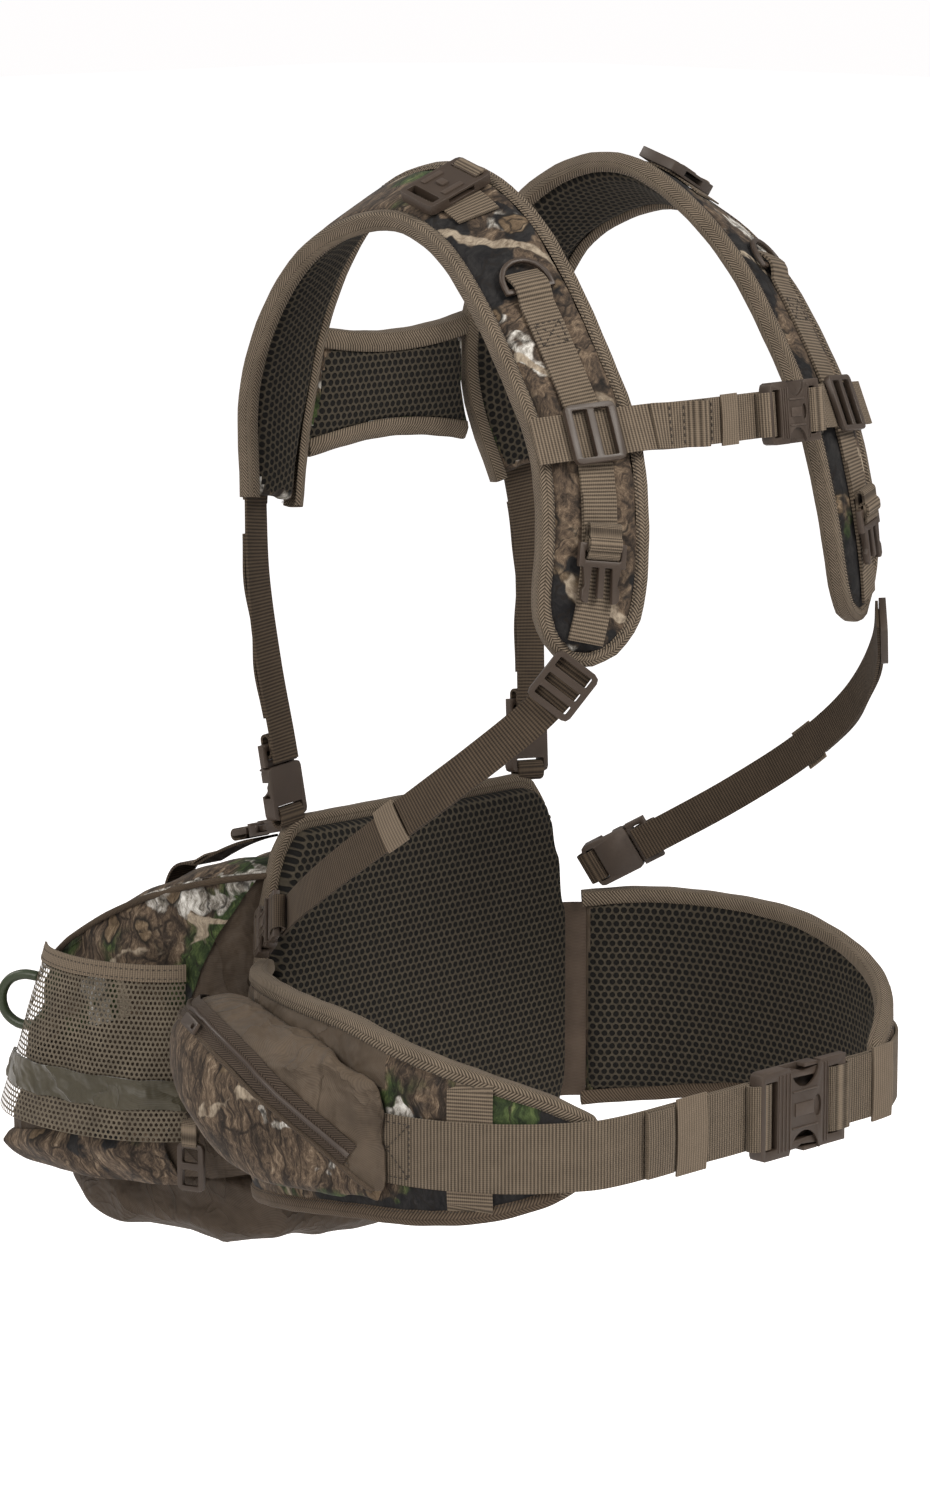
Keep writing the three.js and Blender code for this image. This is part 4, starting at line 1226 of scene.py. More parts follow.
def make_pad_fittings(side, sign, line):
    """D-ring, hanging clip, ladder lock and the spare buckle on top of the shoulder."""
    moulded(f"d_ring_{side}", f"d_ring_{side}", 1.0, 3)
    moulded(f"clip_insert_{side}", f"clip_insert_{side}", 0.6)
    moulded(f"ladder_lock_{side}", f"ladder_lock_{side}", 1.1, 3)
    moulded(f"holder_buckle_{side}", f"holder_buckle_{side}", 1.0, 3)
    clip = line.spot(line.at_height(330))
    place = frame_of(clip.lifted(PAD_FACE + LAY + WEB_THICK + 0.6), -clip.along, clip.out)
    webbing_loop(f"clip_loop_{side}", STRAP_WEB - 1.5, 4.2, 24, -0.2, 5.6, place, "pack", FINISH["webbing"])
    webbing_loop(f"clip_loop_inner_{side}", STRAP_WEB - 1.5, 8.2, 17, 1.0, 7.3, place, "pack", FINISH["webbing"])
    holder = line.spot(0.475)
    place = frame_of(holder.lifted(PAD_FACE + 1.2), holder.across, holder.out)
    body = f"holder_buckle_{side}"
    parts = [bar_block((1.0, 20, 0.8), (-19.4 + 1.9 * k, 0, 6.1), 0.3, place) for k in range(4)]
    parts += [bar_block((14, 3.6, 1.4), (2, turn * 8.4, 6.2), 0.6, place) for turn in (-1, 1)]
    parts.append(bar_block((5, 6, 2.2), (2, 0, 6.4), 0.9, place))
    keep(joined(parts), f"holder_ribs_{side}", body, FINISH["plastic"], 35)
    webbing_loop(f"holder_loop_{side}", STRAP_WEB - 1, -22.4, -14.0, 1.0, 7.2, place, body, FINISH["webbing"])
    strap(f"holder_tab_{side}", line, 0.44, 0.525, STRAP_WEB + 6, "pack", FINISH["webbing"],
          lift=PAD_FACE + 0.5, thick=0.9, crown=0.1)


def make_side_strap(side, sign):
    line = Line(SIDE_ROWS, sign)
    body = f"side_{side}_insert"
    lower = strap(f"side_web_{side}", line, 0.01, 0.875, STRAP_WEB, "pack", FINISH["dark_webbing"])
    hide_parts(f"side_strap_{side}")
    strap(f"side_web_doubled_{side}", line, 0.03, 0.42, STRAP_WEB - 0.3, "pack", FINISH["dark_webbing"],
          lift=WEB_THICK + 0.2, ripple=1.3)
    strap(f"side_keeper_{side}", line, 0.425, 0.475, STRAP_WEB + 4, "pack", FINISH["elastic"],
          lift=WEB_THICK + 0.6, thick=1.1, crown=0.8)
    mouth = line.spot(0.885)
    dress_buckle(f"side_{side}", STRAP_WEB, mouth.lifted(WEB_THICK / 2), -mouth.along, mouth.out, "pack", body,
                 FINISH["dark_webbing"])


def make_rear_strap(side, sign):
    line = Line(REAR_ROWS, sign)
    piece = strap(f"rear_web_{side}", line, 0, 0.8, STRAP_WEB, "pack", FINISH["dark_webbing"])
    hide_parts(f"rear_strap_{side}")
    doubled = strap(f"rear_web_doubled_{side}", line, 0.12, 0.66, STRAP_WEB - 0.4, "pack", FINISH["dark_webbing"],
                    lift=WEB_THICK + 0.3, ripple=2.0)
    top = line.spot(0).at
    for cloth in (piece, doubled):
        tuple(top)
        1 - 22 * MM / (top.z - line.spot(0.8).at.z)
        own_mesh(cloth)
    tab = Line(REAR_ANCHOR_ROWS, sign)
    strap(f"rear_anchor_{side}", tab, 0, 1, STRAP_WEB + 3, "pack", FINISH["dark_webbing"])
    box_stitch(f"rear_anchor_{side}", tab, 0.4, 7, 8, "pack", WEB_THICK)
    mouth = line.spot(0.81)
    dress_buckle(f"rear_{side}", STRAP_WEB, mouth.lifted(WEB_THICK / 2), -mouth.along, mouth.out, "pack",
                 f"rear_{side}_insert", FINISH["dark_webbing"])


def make_lid_strap(side, sign):
    line = Line(LID_ROWS, sign)
    piece = strap(f"lid_web_{side}", line, 0.23, 1, STRAP_WEB, "pack", FINISH["dark_webbing"],
                  rises=[(0.62, 0.1, 7)])
    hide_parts(f"lid_strap_{side}")
    strap(f"lid_keeper_{side}", line, 0.46, 0.53, STRAP_WEB + 3, "pack", FINISH["webbing"],
          lift=WEB_THICK + 0.4, thick=1.1, crown=0.5)
    mouth = line.spot(0.23)
    dress_buckle(f"lid_{side}", STRAP_WEB, mouth.lifted(WEB_THICK / 2), mouth.along, mouth.out, "pack",
                 f"lid_{side}_insert", FINISH["dark_webbing"])


def make_yoke():
    line = Line(YOKE_ROWS)
    yoke = stuffed("upper_back_yoke", ["yoke"], "pack", cap=1.8, shrink=1.4)
    lay_map(yoke, [(v.co.x, v.co.z) for v in yoke.data.vertices])
    face_by(yoke, FINISH["camo_pads"], FINISH["air_mesh"], on_outer_side(line, 20))
    for label, turn, first in (("top", -1, 0.1), ("bottom", 1, 0.045)):
        shares = [first + (1 - 2 * first) * i / 20 for i in range(21)]
        marks = [(u, turn * (38 - 10 * math.sin(math.pi * u))) for u in shares]
        bound_edge(f"yoke_binding_{label}", edge_loop(marks, 1, line), 5, 8, "pack", FINISH["twill"])


# ---------------------------------------------------------------- hip belt

def wing_edge(wing, reach_front=1.0):
    """The wing's edge as one loop: along the top from the back, round the front tip and back along the bottom."""
    steps = 60
    marks = []
    for i in range(steps + 1):
        u = reach_front * i / steps
        marks.append((u, wing.spot(u).high - 1.5))
    last = marks[-1][0]
    tip = wing.spot(last)
    for k in range(1, 8):
        z = tip.high - 1.5 + (tip.low - tip.high + 3) * k / 8
        marks.append((last, z))
    for i in range(steps, -1, -1):
        u = reach_front * i / steps
        marks.append((u, wing.spot(u).low + 1.5))
    points = [wing.at(u, WING_THICK / 2, z) for u, z in marks]
    normals = [wing.spot(u).out for u, _ in marks]
    centres = []
    for u, _ in marks:
        spot = wing.spot(min(u, 0.93))
        centres.append(wing.at(min(u, 0.93), WING_THICK / 2, (spot.low + spot.high) / 2))
    sums = [0.0]
    for a, b in zip(points, points[1:]):
        sums.append(sums[-1] + (b - a).length)

    def sample(goal):
        i = next((j for j in range(1, len(sums)) if sums[j] >= goal), len(sums) - 1)
        span = sums[i] - sums[i - 1]
        share = (goal - sums[i - 1]) / span if span > 1e-9 else 0
        return (points[i - 1].lerp(points[i], share), normals[i - 1].lerp(normals[i], share),
                centres[i - 1].lerp(centres[i], share))

    def places(u):
        goal = u * sums[-1]
        at, normal, centre = sample(goal)
        ahead = sample(min(goal + 0.006, sums[-1]))[0]
        behind = sample(max(goal - 0.006, 0))[0]
        side = (ahead - behind).normalized().cross(normal).normalized()
        if side.dot(at - centre) < 0:
            side = -side
        return at, side, normal.normalized()
    return places


def pinch_wing(pad, wing, rim=16.0, least=0.5):
    """Draws the wing thin towards its sewn edge."""
    middle = WING_THICK / 2
    spots = [(i / 70, wing.spot(i / 70)) for i in range(71)]
    places = []
    for vertex in pad.data.vertices:
        flat = Vector((vertex.co.x, vertex.co.y, 0))
        u, spot = min(spots, key=lambda s: (s[1].at - flat).length_squared)
        places.append((u * wing.plan.length * MM + (flat - spot.at).dot(spot.along), vertex.co.z))
        lift = (flat - spot.at).dot(spot.out) / MM
        height = vertex.co.z / MM
        inside = min(height - spot.low, spot.high - height, (1 - u) * wing.plan.length + 5)
        share = least + (1 - least) * math.sin(min(1.0, max(0.0, inside / rim)) * math.pi / 2)
        vertex.co += spot.out * (middle + (lift - middle) * share - lift) * MM
    pad.data.update()
    lay_map(pad, places)


def part_of(places, low, high):
    return lambda u: places(low + (high - low) * u)


def make_wing(side, sign):
    wing = WingLine(sign)
    pad = stuffed(f"wing_{side}", [f"hip_wing_{side}"], "pack", cap=1.6, shrink=1.2)
    pinch_wing(pad, wing)
    spots = [wing.spot(i / 40) for i in range(41)]

    def outer(polygon):
        flat = Vector((polygon.center.x, polygon.center.y, 0))
        spot = min(spots, key=lambda s: (Vector((s.at.x, s.at.y, 0)) - flat).length_squared)
        return (flat - Vector((spot.at.x, spot.at.y, 0))).dot(spot.out) > 4 * MM

    def beside_pocket(polygon):
        flat = Vector((polygon.center.x, polygon.center.y, 0))
        index = min(range(41), key=lambda i: (Vector((spots[i].at.x, spots[i].at.y, 0)) - flat).length_squared)
        return index / 40 < 0.54 + 0.0012 * polygon.center.z / MM and polygon.center.z > 0
    face_by(pad, FINISH["camo_belt"], FINISH["air_mesh"], outer, FINISH["nylon"], beside_pocket)
    places = wing_edge(wing)
    make_wing_root(side, sign, wing)
    bound_edge(f"wing_binding_top_{side}", part_of(places, 0.0, 0.56), 3.9, 6.0, "pack", FINISH["twill"])
    bound_edge(f"wing_binding_bottom_{side}", part_of(places, 0.56, 1.0), 3.9, 6.0, "pack", FINISH["twill_brown"])
    points = []
    normals = []
    for i in range(161):
        at, outward, normal = places(i / 160)
        points.append(at - outward * 5.2 * MM + normal * 5.4 * MM)
        normals.append(normal)
    stitch_row(f"wing_stitches_{side}", points, normals, "pack", 2.2, 3.2, 0.3)
    return wing, pad


def make_wing_root(side, sign, wing):
    """The cloth that joins a wing's rear end to the lumbar pad's side."""
    def place(u, v):
        z = -42 + 120 * v
        start = in_row(sign * 112, BACK_PLANE + 13, z)
        end = wing.at(0.012, 7, z)
        return start.lerp(end, u) + Vector((sign * 1.0, 1.0, 0)) * 1.6 * math.sin(math.pi * u) * MM
    piece = flat_cloth(14, 40, place, (0.028, 0.12))
    near = piece.data.polygons[len(piece.data.polygons) // 2]
    if near.normal.y < 0:
        turn_over(piece)
    apply_modifier(piece, "SOLIDIFY", thickness=2.4 * MM, offset=0.0)
    keep(piece, f"wing_root_{side}", "pack", FINISH["nylon_tape"], 60)


def snapped(piece, point, lift=0.0):
    """The nearest place on a finished piece, lifted off it, and the surface's direction there."""
    found, place, normal, _ = piece.closest_point_on_mesh(point)
    return (place + normal * lift * MM, normal) if found else (point, Vector((0, 0, 1)))


def cord_along(name, points, radius, body, finish, flat=1.0):
    """A thin round piping or coil laid through points."""
    data = bpy.data.curves.new(name, "CURVE")
    data.dimensions = "3D"
    data.bevel_depth = radius * MM
    data.bevel_resolution = 3
    spline = data.splines.new("POLY")
    spline.points.add(len(points) - 1)
    for mark, point in zip(spline.points, points):
        mark.co = (*point, 1)
    data.use_fill_caps = True
    piece = bpy.data.objects.new(name, data)
    bpy.context.scene.collection.objects.link(piece)
    take(piece)
    bpy.ops.object.convert(target="MESH")
    return keep(bpy.context.object, name, body, finish, 80)


def tape_on(name, piece, points, width, body, finish, lift=0.3, thick=0.8):
    """A narrow tape laid on a finished piece through points."""
    marks = [snapped(piece, p, lift) for p in points]
    sums = [0.0]
    for a, b in zip(marks, marks[1:]):
        sums.append(sums[-1] + (b[0] - a[0]).length)
    count = len(marks) - 1

    def place(u, v):
        i = round(u * count)
        at, normal = marks[i]
        before = marks[max(i - 1, 0)][0]
        after = marks[min(i + 1, count)][0]
        side = (after - before).normalized().cross(normal).normalized()
        return at + side * (v - 0.5) * width * MM + normal * 0.2 * MM * (1 - (2 * v - 1) ** 2)

    tape = flat_cloth(count, 4, place, (sums[-1], width * MM))
    middle = marks[count // 2]
    near = min(tape.data.polygons, key=lambda p: (p.center - middle[0]).length)
    if near.normal.dot(middle[1]) < 0:
        turn_over(tape)
    apply_modifier(tape, "SOLIDIFY", thickness=thick * MM, offset=1.0)
    return keep(tape, name, body, finish, 60)


def pocket_seam(wing, count=48):
    """The seam between the pocket's camo face and its nylon gusset: high at the back, down to the wing in front."""
    seam = []
    for i in range(count + 1):
        u = 0.075 + (0.6 - 0.075) * i / count
        low, high, depth = pocket_size(u)
        drop = 0.16 + 0.66 * max(0, (u - 0.2) / 0.4) ** 1.5
        z = high - (high - low) * min(drop, 0.93)
        seam.append((u, WING_THICK + GAP + depth * 0.93, z))
    return seam


def make_hip_pocket(side, sign, wing):
    pocket = stuffed(f"belt_pocket_{side}", [f"hip_pocket_{side}"], "pack", cap=4.5, shrink=1.5, pressure=5)
    seam = pocket_seam(wing)
    spots = [(wing.spot(u), z) for u, _, z in seam]

    def gusset(polygon):
        flat = Vector((polygon.center.x, polygon.center.y, 0))
        spot, z = min(spots, key=lambda s: (Vector((s[0].at.x, s[0].at.y, 0)) - flat).length_squared)
        out = (flat - Vector((spot.at.x, spot.at.y, 0))).dot(spot.out) / MM
        return polygon.center.z / MM > z or out < WING_THICK + 5

    def loose(at):
        flat = Vector((at.x, at.y, 0))
        spot, z = min(spots, key=lambda s: (Vector((s[0].at.x, s[0].at.y, 0)) - flat).length_squared)
        return min(1.0, max(0.12, 0.12 + 0.88 * (at.z / MM - z - 18) / 12))
    crumple(pocket, 3.8, 23, loose)
    face_by(pocket, FINISH["nylon"], FINISH["camo_pocket"], gusset)
    points = [wing.at(u, out, z) for u, out, z in seam]
    raised = [snapped(pocket, p, 0.6)[0] for p in points]
    cord_along(f"pocket_piping_{side}", raised, 1.6, "pack", FINISH["twill_brown"])
    zip_marks = [wing.at(u, out - 3, z + 9) for u, out, z in seam[:45]]
    tape_on(f"pocket_zip_tape_{side}", pocket, zip_marks, 15, "pack", FINISH["zip_tape"], 0.3, 0.7)
    coil = [snapped(pocket, p, 1.5)[0] for p in zip_marks]
    cord_along(f"pocket_zip_{side}", coil, 1.5, "pack", FINISH["zip_coil"])
    for label, rise in (("low", 4.0), ("high", 14.0)):
        row = [snapped(pocket, wing.at(u, out - 3, z + rise), 0.7) for u, out, z in seam[:45]]
        stitch_row(f"pocket_zip_stitches_{label}_{side}", [r[0] for r in row], [r[1] for r in row], "pack", 2.2,
                   3.2, 0.3)
    moulded(f"zip_pull_{side}", f"zip_pull_{side}", bevel=0.5)
    return pocket


def belt_line(wing, sign, end_x):
    rows = []
    for i in range(21):
        u = i / 20
        if u > 0.46:
            spot = wing.spot(u)
            place = spot.at + spot.out * (WING_THICK + GAP) * MM
            rows.append((place.x / MM, place.y / MM + BACK_PLANE, BELT_HEIGHT, spot.out.x, spot.out.y, 0))
    start = len(rows)
    for x, y in BELT_FRONT:
        if x > sign * end_x:
            rows.append((sign * x, y, BELT_HEIGHT, 0, -1, 0))
    rows.append((end_x, BELT_FRONT[-1][1], BELT_HEIGHT, 0, -1, 0))
    rows[start] = (*rows[start][:3], sign * 0.25, -0.97, 0)
    return Line(rows)


def share_at_x(line, x, sign):
    """Share of a line where it passes one x, walking towards the middle."""
    for i in range(400):
        if sign * line.spot(i / 400).at.x < sign * x * MM:
            return i / 400
    return 1.0


def share_past(line, length):
    return length / line.length


def make_belt(side, sign, wing, pad):
    end_x = BELT_MOUTH_X - 36 if side == "right" else BELT_MOUTH_X + GAP
    line = belt_line(wing, sign, end_x)
    first = share_past(line, 18)
    loose = first if side == "right" else share_at_x(line, FREE_FROM, 1)
    main = strap(f"belt_web_{side}", line, loose, 1, BELT_WEB, "pack", FINISH["wide_webbing"])
    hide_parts(f"belt_strap_{side}")
    box_stitch(f"belt_anchor_{side}", line, first + share_past(line, 17), 14, 15, "pack", WEB_THICK + 0.25)
    upright = []
    for i in range(25):
        z = wing.spot(0.775).high - 3 - (wing.spot(0.775).high - wing.spot(0.775).low - 6) * i / 24
        at, _ = snapped(pad, wing.at(0.775, WING_THICK, z), 0.1)
        upright.append((*[c / MM for c in at], *wing.spot(0.775).out))
    tape_line = Line([(x, y + BACK_PLANE, z, a, b, c) for x, y, z, a, b, c in upright])
    strap(f"wing_web_{side}", tape_line, 0.0, 1.0, 25, "pack", FINISH["webbing"], lift=0.0, thick=0.9)
    if side == "right":
        fold = share_at_x(line, -88, -1)
        strap("belt_doubled_right", line, fold, 0.965, BELT_WEB - 0.5, "pack", FINISH["wide_webbing"],
              lift=WEB_THICK + 0.15, crown=0.2, ripple=0.5)
        strap("belt_tail_right", line, fold - 0.004, fold + 0.07, BELT_WEB - 1.5, "pack", FINISH["wide_webbing"],
              lift=2 * WEB_THICK + 0.5, crown=0.8)
        strap("belt_keeper_right", line, fold + 0.08, fold + 0.165, BELT_WEB + 5, "pack", FINISH["elastic"],
              lift=2 * WEB_THICK + 0.3, thick=1.2, crown=0.9)
        return line
    strap("belt_web_left_sewn", line, first, loose, BELT_WEB, "pack", FINISH["wide_webbing"])
    doubled = strap("belt_doubled_left", line, loose, share_at_x(line, 72, 1), BELT_WEB - 0.5, "pack",
                    FINISH["wide_webbing"], lift=WEB_THICK + 0.15, crown=0.2)
    keeper = strap("belt_keeper_left", line, loose, loose + 0.085, BELT_WEB + 5, "pack", FINISH["elastic"],
                   lift=2 * WEB_THICK + 0.2, thick=1.2, crown=0.6)
    for cloth, left in ((main, 0.48), (doubled, 0.12), (keeper, 0.3)):
        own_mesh(cloth)
    return doubled, keeper


# ---------------------------------------------------------------- bag

def bag_ring_point(share, wide, deep, closed=False):
    """A place on the bag's outline, from its front right round to its front left, or closed across the front."""
    half = [Vector((x * wide, BAG_FRONT + (y - BAG_FRONT) * deep, 0)) for x, y in BAG_HALF]
    whole = [Vector((-p.x, p.y, 0)) for p in half] + list(reversed(half))
    if closed:
        whole = [Vector((0, BAG_FRONT, 0))] + whole + [Vector((0, BAG_FRONT, 0))]
    sums = [0.0]
    for a, b in zip(whole, whole[1:]):
        sums.append(sums[-1] + (b - a).length)
    goal = share * sums[-1]
    i = next((j for j in range(1, len(sums)) if sums[j] >= goal), len(sums) - 1)
    t = (goal - sums[i - 1]) / (sums[i] - sums[i - 1])
    return whole[i - 1].lerp(whole[i], t)


def bag_profile(v):
    """How wide and deep the bag is at a share of its height."""
    rows = [(0, 0.94, 0.98), (0.12, 1, 1), (0.5, 0.98, 0.95), (1, LID_WIDE, LID_DEEP)]
    for (a, wa, da), (b, wb, db) in zip(rows, rows[1:]):
        if v <= b:
            t = (v - a) / (b - a)
            return wa + (wb - wa) * t, da + (db - da) * t
    return LID_WIDE, LID_DEEP


def folds(x, y, z):
    """Soft creases in loose cloth, in millimetres."""
    return (math.sin(x * 0.051 + z * 0.083) * math.sin(y * 0.063 - z * 0.031) * 1.3
            + math.sin(x * 0.13 - y * 0.09 + z * 0.21) * 0.6)


def bag_skin(name, low, high, finish, start=0.0, end=1.0, lift=0.0, thick=1.8, columns=150, rows=36, puff=1.0,
             bulge=0.0, sweep=0.0):
    """A band of the bag's wall between two shares of its height and two shares of its outline.

    bulge stuffs it between its seams, and sweep carries its ends forward towards the top."""
    def place(u, v):
        ahead = sweep * v ** 1.6
        share = start - ahead + (end - start + 2 * ahead) * u
        tall = low + (high - low) * v
        wide, deep = bag_profile(tall)
        p = bag_ring_point(share, wide, deep)
        z = bag_bottom(p.y) + tall * (bag_top(p.y) - bag_bottom(p.y))
        out = Vector((p.x, p.y - BAG_MIDDLE, 0)).normalized()
        swell = folds(p.x, p.y, z) * puff + 1.2 * math.sin(math.pi * min(1, max(0, tall)))
        swell += bulge * math.sin(math.pi * v) ** 0.6
        return in_row(p.x, p.y, z) + out * (lift + swell - 0.6) * MM
    piece = flat_cloth(columns, rows, place, (0.75 * (end - start), 0.17 * (high - low)))
    middle = min(piece.data.polygons, key=lambda p: (p.center - place(0.5, 0.5)).length)
    if middle.normal.dot(middle.center - in_row(0, BAG_MIDDLE, 20)) < 0:
        turn_over(piece)
    apply_modifier(piece, "SOLIDIFY", thickness=thick * MM, offset=-1.0)
    return keep(piece, name, "pack", finish, 80)


def make_bag():
    wall = bag_skin("bag_wall", 0.0, 1.0, FINISH["nylon_bag"])
    crumple(wall, 2.6, 34, lambda at: 1.0 if at.y < (172 - BACK_PLANE) * MM else 0.0)
    lining = copy_of("bag_body")
    take(lining)
    apply_modifier(lining, "BEVEL", width=0.6 * MM, segments=1, limit_method="ANGLE")
    for vertex in lining.data.vertices:
        inward = Vector((-vertex.co.x, (BAG_MIDDLE - BACK_PLANE) * MM - vertex.co.y, 0)).normalized()
        vertex.co += inward * 2.6 * MM
        vertex.co.z -= 1.5 * MM * (1 if vertex.co.z > 0 else -1)
    keep(lining, "bag_lining", "pack", FINISH["nylon"], 60)
    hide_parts("bag_body")
    bag_skin("bag_base_roll", -0.03, 0.19, FINISH["camo_bag"], 0.135, 0.865, 0.8, 1.6, 170, 14, 1.8, 5.0)
    base = stuffed("lower_pouch", ["base_pouch"], "pack", cap=6, shrink=2.0, pressure=5, voxel=6)
    crumple(base, 5.0, 40)
    base.data.materials.append(FINISH["nylon_bag"])
    return wall, base


def make_lid():
    """The lid's camo cloth, sagging between its folds, with a rolled edge all round."""
    def place(u, v):
        outline = bag_ring_point(u, LID_WIDE, LID_DEEP, True)
        share = v
        y = LID_MIDDLE + (outline.y - LID_MIDDLE) * share
        x = outline.x * share
        rise = 12.5 * (1 - max(0, (share - 0.72) / 0.28) ** 2.2) + 0.5
        sag = folds(x * 1.3, y * 1.2, x * 0.3) * 1.5 * (1 - abs(share - 0.5))
        sag += 2.6 * (0.3 - abs(noise.noise(Vector((x * 0.016, y * 0.03, 2.2))))) * min(1, 4 * (1 - share))
        ridge = 1.8 * math.exp(-((share - 0.93) / 0.04) ** 2)
        return in_row(x, y, bag_top(y) + rise + sag + ridge * 0.6)
    lid = flat_cloth(150, 40, place, (0.7, 0.16))
    take(lid)
    bpy.ops.object.mode_set(mode="EDIT")
    bpy.ops.mesh.select_all(action="SELECT")
    bpy.ops.mesh.remove_doubles(threshold=0.0001)
    bpy.ops.object.mode_set(mode="OBJECT")
    top = max(lid.data.polygons, key=lambda p: p.center.z)
    if top.normal.z < 0:
        turn_over(lid)
    apply_modifier(lid, "SOLIDIFY", thickness=2.2 * MM, offset=-1.0)
    keep(lid, "lid_cloth", "pack", FINISH["camo_lid"], 80)
    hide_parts("bag_lid")
    skirt = bag_skin("lid_side", 0.6, 1.03, FINISH["camo_lid"], 0.125, 0.875, 2.0, 1.6, 170, 20, 2.0, 1.5,
                     0.048)
    outline = [bag_ring_point(0.02 + 0.96 * i / 160, LID_WIDE, LID_DEEP) for i in range(161)]
    edge = []
    for p in outline:
        out = Vector((p.x, p.y - BAG_MIDDLE, 0)).normalized()
        edge.append(in_row(p.x, p.y, bag_top(p.y) + 2.5) + out * 3.2 * MM)
    cord_along("lid_piping", edge, 1.9, "pack", FINISH["twill_brown_plain"])
    return lid, skirt


def net_rows(rows, sign):
    return [Vector((sign * x, y, 0)) for x, y in rows]


def make_net_pocket(side, sign):
    bottom = net_rows(NET_BOTTOM_ROWS, sign)
    top = net_rows(NET_TOP_ROWS, sign)

    def place(u, v, lift=0.0):
        ahead, behind = curve_point(bottom, min(u + 0.001, 1)), curve_point(bottom, max(u - 0.001, 0))
        along = (ahead - behind).normalized()
        out = Vector((along.y, -along.x, 0)) * sign
        stand = 2.9 + NET_BULGE * math.sin(math.pi * min(max(u, 0), 1)) ** 0.7
        mouth = curve_point(top, u)
        p = curve_point(bottom, u).lerp(mouth, v)
        z = NET_BOTTOM + (min(NET_TOP, bag_top(mouth.y) + 8) - NET_BOTTOM) * v
        slack = noise.noise(Vector((u * 4.5 * sign, v * 2.2 + u * 2, 0.4))) * math.sin(u * math.pi) ** 0.5
        loose = (1.2 + 4.0 * slack) * max(0.0, math.sin(min(v * 1.08, 1.0) * math.pi)) ** 0.7
        return in_row(p.x, p.y, z) + out * (stand + lift + loose) * MM

    def band(name, low, high, finish, lift, thick, rows=8):
        piece = flat_cloth(60, rows, lambda u, v: place(u, low + (high - low) * v, lift), (0.17, 0.102 * (high - low)),
                           )
        far = max(piece.data.polygons, key=lambda p: sign * p.center.x)
        if far.normal.x * sign < 0:
            turn_over(piece)
        if thick:
            apply_modifier(piece, "SOLIDIFY", thickness=thick * MM, offset=1.0)
        return keep(piece, name, "pack", finish, 80)

    net = band(f"net_{side}", 0.0, 1.0, FINISH["net"], 0.0, 0, 40)
    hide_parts(f"mesh_pocket_{side}")
    band(f"net_hem_{side}", 0.915, 1.012, FINISH["elastic"], 0.2, 1.3)
    crumple(band(f"net_ribbon_{side}", 0.19, 0.36, FINISH["olive_ribbon"], 0.9, 0.7), 1.6, 17)
    for label, v in (("upper", 0.985), ("lower", 0.935)):
        points = [place(i / 60, v, 1.75) for i in range(61)]
        normals = [(places_out(place, i / 60, v)) for i in range(61)]
        stitch_row(f"net_hem_stitches_{label}_{side}", points, normals, "pack", 2.2, 3.2, 0.3)
    return net


def places_out(place, u, v):
    """The outward direction of a laid cloth."""
    a = place(min(u + 0.01, 1), v) - place(max(u - 0.01, 0), v)
    b = place(u, min(v + 0.01, 1)) - place(u, max(v - 0.01, 0))
    out = a.cross(b).normalized()
    return out if out.x * place(0.5, 0.5).x > 0 else -out


def make_lumbar_pad():
    pad = stuffed("lumbar_pad", ["lumbar_mesh", "lumbar_foam"], "pack", cap=2.0, shrink=1.4, voxel=5.5)
    pad.data.materials.append(FINISH["air_mesh"])
    lay_map(pad, [(v.co.x, v.co.z) for v in pad.data.vertices])
    outline = [Vector((-x, 0, z)) for x, z in PANEL_HALF] + [Vector((x, 0, z)) for x, z in reversed(PANEL_HALF)]
    points = []
    for a, b in zip(outline, outline[1:]):
        for k in range(8):
            points.append(a.lerp(b, k / 8))
    points.append(outline[-1])
    centre = Vector((0, 0, 46))
    sums = [0.0]
    for a, b in zip(points, points[1:]):
        sums.append(sums[-1] + (b - a).length)

    def places(u):
        goal = u * sums[-1]
        i = next((j for j in range(1, len(sums)) if sums[j] >= goal), len(sums) - 1)
        share = (goal - sums[i - 1]) / (sums[i] - sums[i - 1])
        at = points[i - 1].lerp(points[i], share)
        lo, hi = points[max(i - 4, 0)], points[min(i + 3, len(points) - 1)]
        side = (hi - lo).normalized().cross(Vector((0, 1, 0))).normalized()
        if side.dot(at - centre) < 0:
            side = -side
        return Vector((at.x, 15.4, at.z)) * MM, side, Vector((0, -1, 0))
    bound_edge("lumbar_binding", places, 2.0, 7.0, "pack", FINISH["twill"], 0.6)
    return pad


def make_small_parts():
    for side in SIDES:
        moulded(f"hanging_slider_{side}", f"hanging_slider_{side}", bevel=0.8)
        sign = SIDES[side]
        place = frame_of(in_row(sign * 155, 160, -24), Vector((0, 0, -1)), Vector((sign, -0.35, 0)))
        root = in_row(sign * 132, 160, -12)
        hook = in_row(sign * 156, 159, -11)
        wide = Vector((sign * 0.33, 0.94, 0)) * 9 * MM

        def lay(u, v):
            drop = Vector((0, 0, 2.5 * math.sin(math.pi * u) * MM))
            return root.lerp(hook, u) + drop + wide * (v - 0.5)
        anchor = flat_cloth(10, 3, lay, (0.024, 0.009))
        if anchor.data.polygons[0].normal.z < 0:
            turn_over(anchor)
        apply_modifier(anchor, "SOLIDIFY", thickness=2.2 * MM, offset=-1.0)
        keep(anchor, f"slider_anchor_{side}", "pack", FINISH["webbing"], 60)
        webbing_loop(f"slider_tape_{side}", 9.2, -14, 2.6, -1.0, 4.6, place, "pack", FINISH["webbing"])
    loop = copy_of("rear_zip_loop")
    take(loop)
    apply_modifier(loop, "SUBSURF", levels=2, render_levels=2)
    keep(loop, "zip_loop", "rear_zip_loop", FINISH["olive_tube"], 80)
    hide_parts("rear_zip_loop")


# ---------------------------------------------------------------- making it

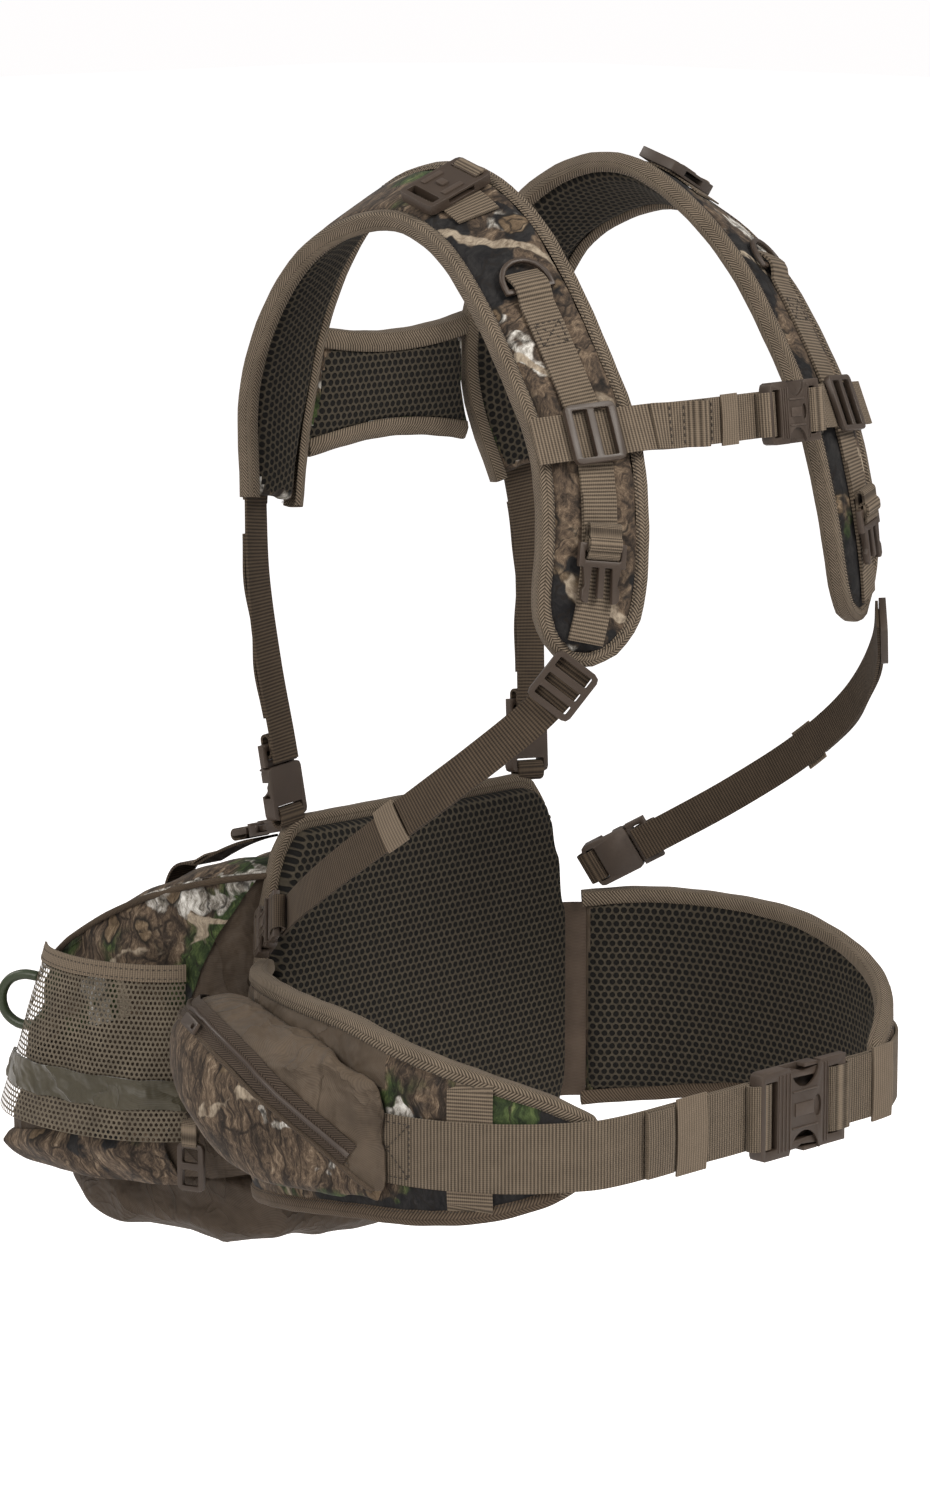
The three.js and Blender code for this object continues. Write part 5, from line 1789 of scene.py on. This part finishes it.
set_camera()
WEAVES = {"ribbed weave": ribbed_weave_group(), "herringbone": twill_group(), "plain weave": plain_weave_group(),
          "wear": wear_group(), "bark camo": bark_camo_group(), "honeycomb": honeycomb_group()}
FINISH = {
    "camo_pads": camo_material("camo for the pads", (0.35, 0.12, 0.55), 0.0, 0.03, 0.02),
    "camo_belt": camo_material("camo for the belt", (1.9, 0.7, 0.2), 0.07, 0.05, -0.04),
    "camo_pocket": camo_material("camo for the belt pockets", (2.4, 1.6, 0.9), 0.02, -0.02, 0.0),
    "camo_lid": camo_material("camo for the lid", (4.2, 0.3, 1.4), 0.07, 0.0, -0.035),
    "camo_bag": camo_material("camo for the bag", (3.1, 2.9, 0.6), 0.0, -0.05, -0.02),
    "webbing": cloth_material("taupe webbing", "ribbed weave", (0.036, 0.027, 0.019), (0.19, 0.149, 0.108), strength=0.8),
    "wide_webbing": cloth_material("taupe belt webbing", "ribbed weave", (0.038, 0.029, 0.02), (0.185, 0.146, 0.106),
                                   strength=1.0, distance=0.0006),
    "dark_webbing": cloth_material("dark brown webbing", "ribbed weave", (0.015, 0.0105, 0.007),
                                   (0.082, 0.059, 0.039)),
    "elastic": cloth_material("brown elastic", "ribbed weave", (0.085, 0.065, 0.047), (0.185, 0.146, 0.106), strength=0.3),
    "twill": cloth_material("herringbone tape", "herringbone", (0.028, 0.021, 0.014), (0.215, 0.17, 0.125),
                            strength=0.7, distance=0.0006),
    "twill_brown": cloth_material("brown binding", "herringbone", (0.026, 0.018, 0.012), (0.11, 0.08, 0.055)),
    "twill_brown_plain": cloth_material("brown piping", "plain weave", (0.022, 0.0155, 0.01), (0.088, 0.063, 0.042),
                                        "Object"),
    "nylon": cloth_material("brown nylon", "plain weave", (0.03, 0.0215, 0.0145), (0.12, 0.089, 0.062), "Object", 0.3,
                            0.0003, 0.62, folds=0.8),
    "nylon_bag": cloth_material("brown twill nylon", "plain weave", (0.018, 0.0125, 0.008), (0.075, 0.053, 0.036),
                                "Object", 0.3, 0.0003, 0.65, folds=0.7),
    "nylon_tape": cloth_material("nylon hem", "plain weave", (0.032, 0.023, 0.017), (0.12, 0.088, 0.066), "Object"),
    "zip_tape": cloth_material("zip tape", "herringbone", (0.018, 0.013, 0.009), (0.075, 0.054, 0.04)),
    "zip_coil": plastic_material("zip coil", (0.035, 0.024, 0.018), 0.45),
    "thread": plastic_material("thread", (0.018, 0.013, 0.009), 0.7),
    "plastic": plastic_material("moulded brown plastic", (0.042, 0.029, 0.021), 0.46),
    "air_mesh": spacer_material(),
    "net": net_material(),
    "olive_ribbon": cloth_material("olive ribbon", "plain weave", (0.028, 0.025, 0.016), (0.092, 0.081, 0.055),
                                   "Object", 0.2, 0.0002, 0.4, folds=0.6, sheen=0.3),
    "olive_tube": plastic_material("olive tube", (0.034, 0.047, 0.024), 0.36),
}
set_studio()

LINES = {side: make_shoulder_pad(side, sign) for side, sign in SIDES.items()}
for side, sign in SIDES.items():
    make_shoulder_webbing(side, LINES[side])
    make_pad_fittings(side, sign, LINES[side])
    make_side_strap(side, sign)
    make_rear_strap(side, sign)
    make_lid_strap(side, sign)
    wing, pad = make_wing(side, sign)
    make_hip_pocket(side, sign, wing)
    make_belt(side, sign, wing, pad)
    make_net_pocket(side, sign)
make_chest(LINES)
make_yoke()
dress_buckle("belt", BELT_WEB, in_row(BELT_MOUTH_X, BELT_FRONT[-1][1] - WEB_THICK / 2, BELT_HEIGHT),
             Vector((1, 0, 0)), Vector((0, -1, 0)), "pack", "belt_insert", FINISH["wide_webbing"])
make_bag()
make_lid()
make_lumbar_pad()
make_small_parts()
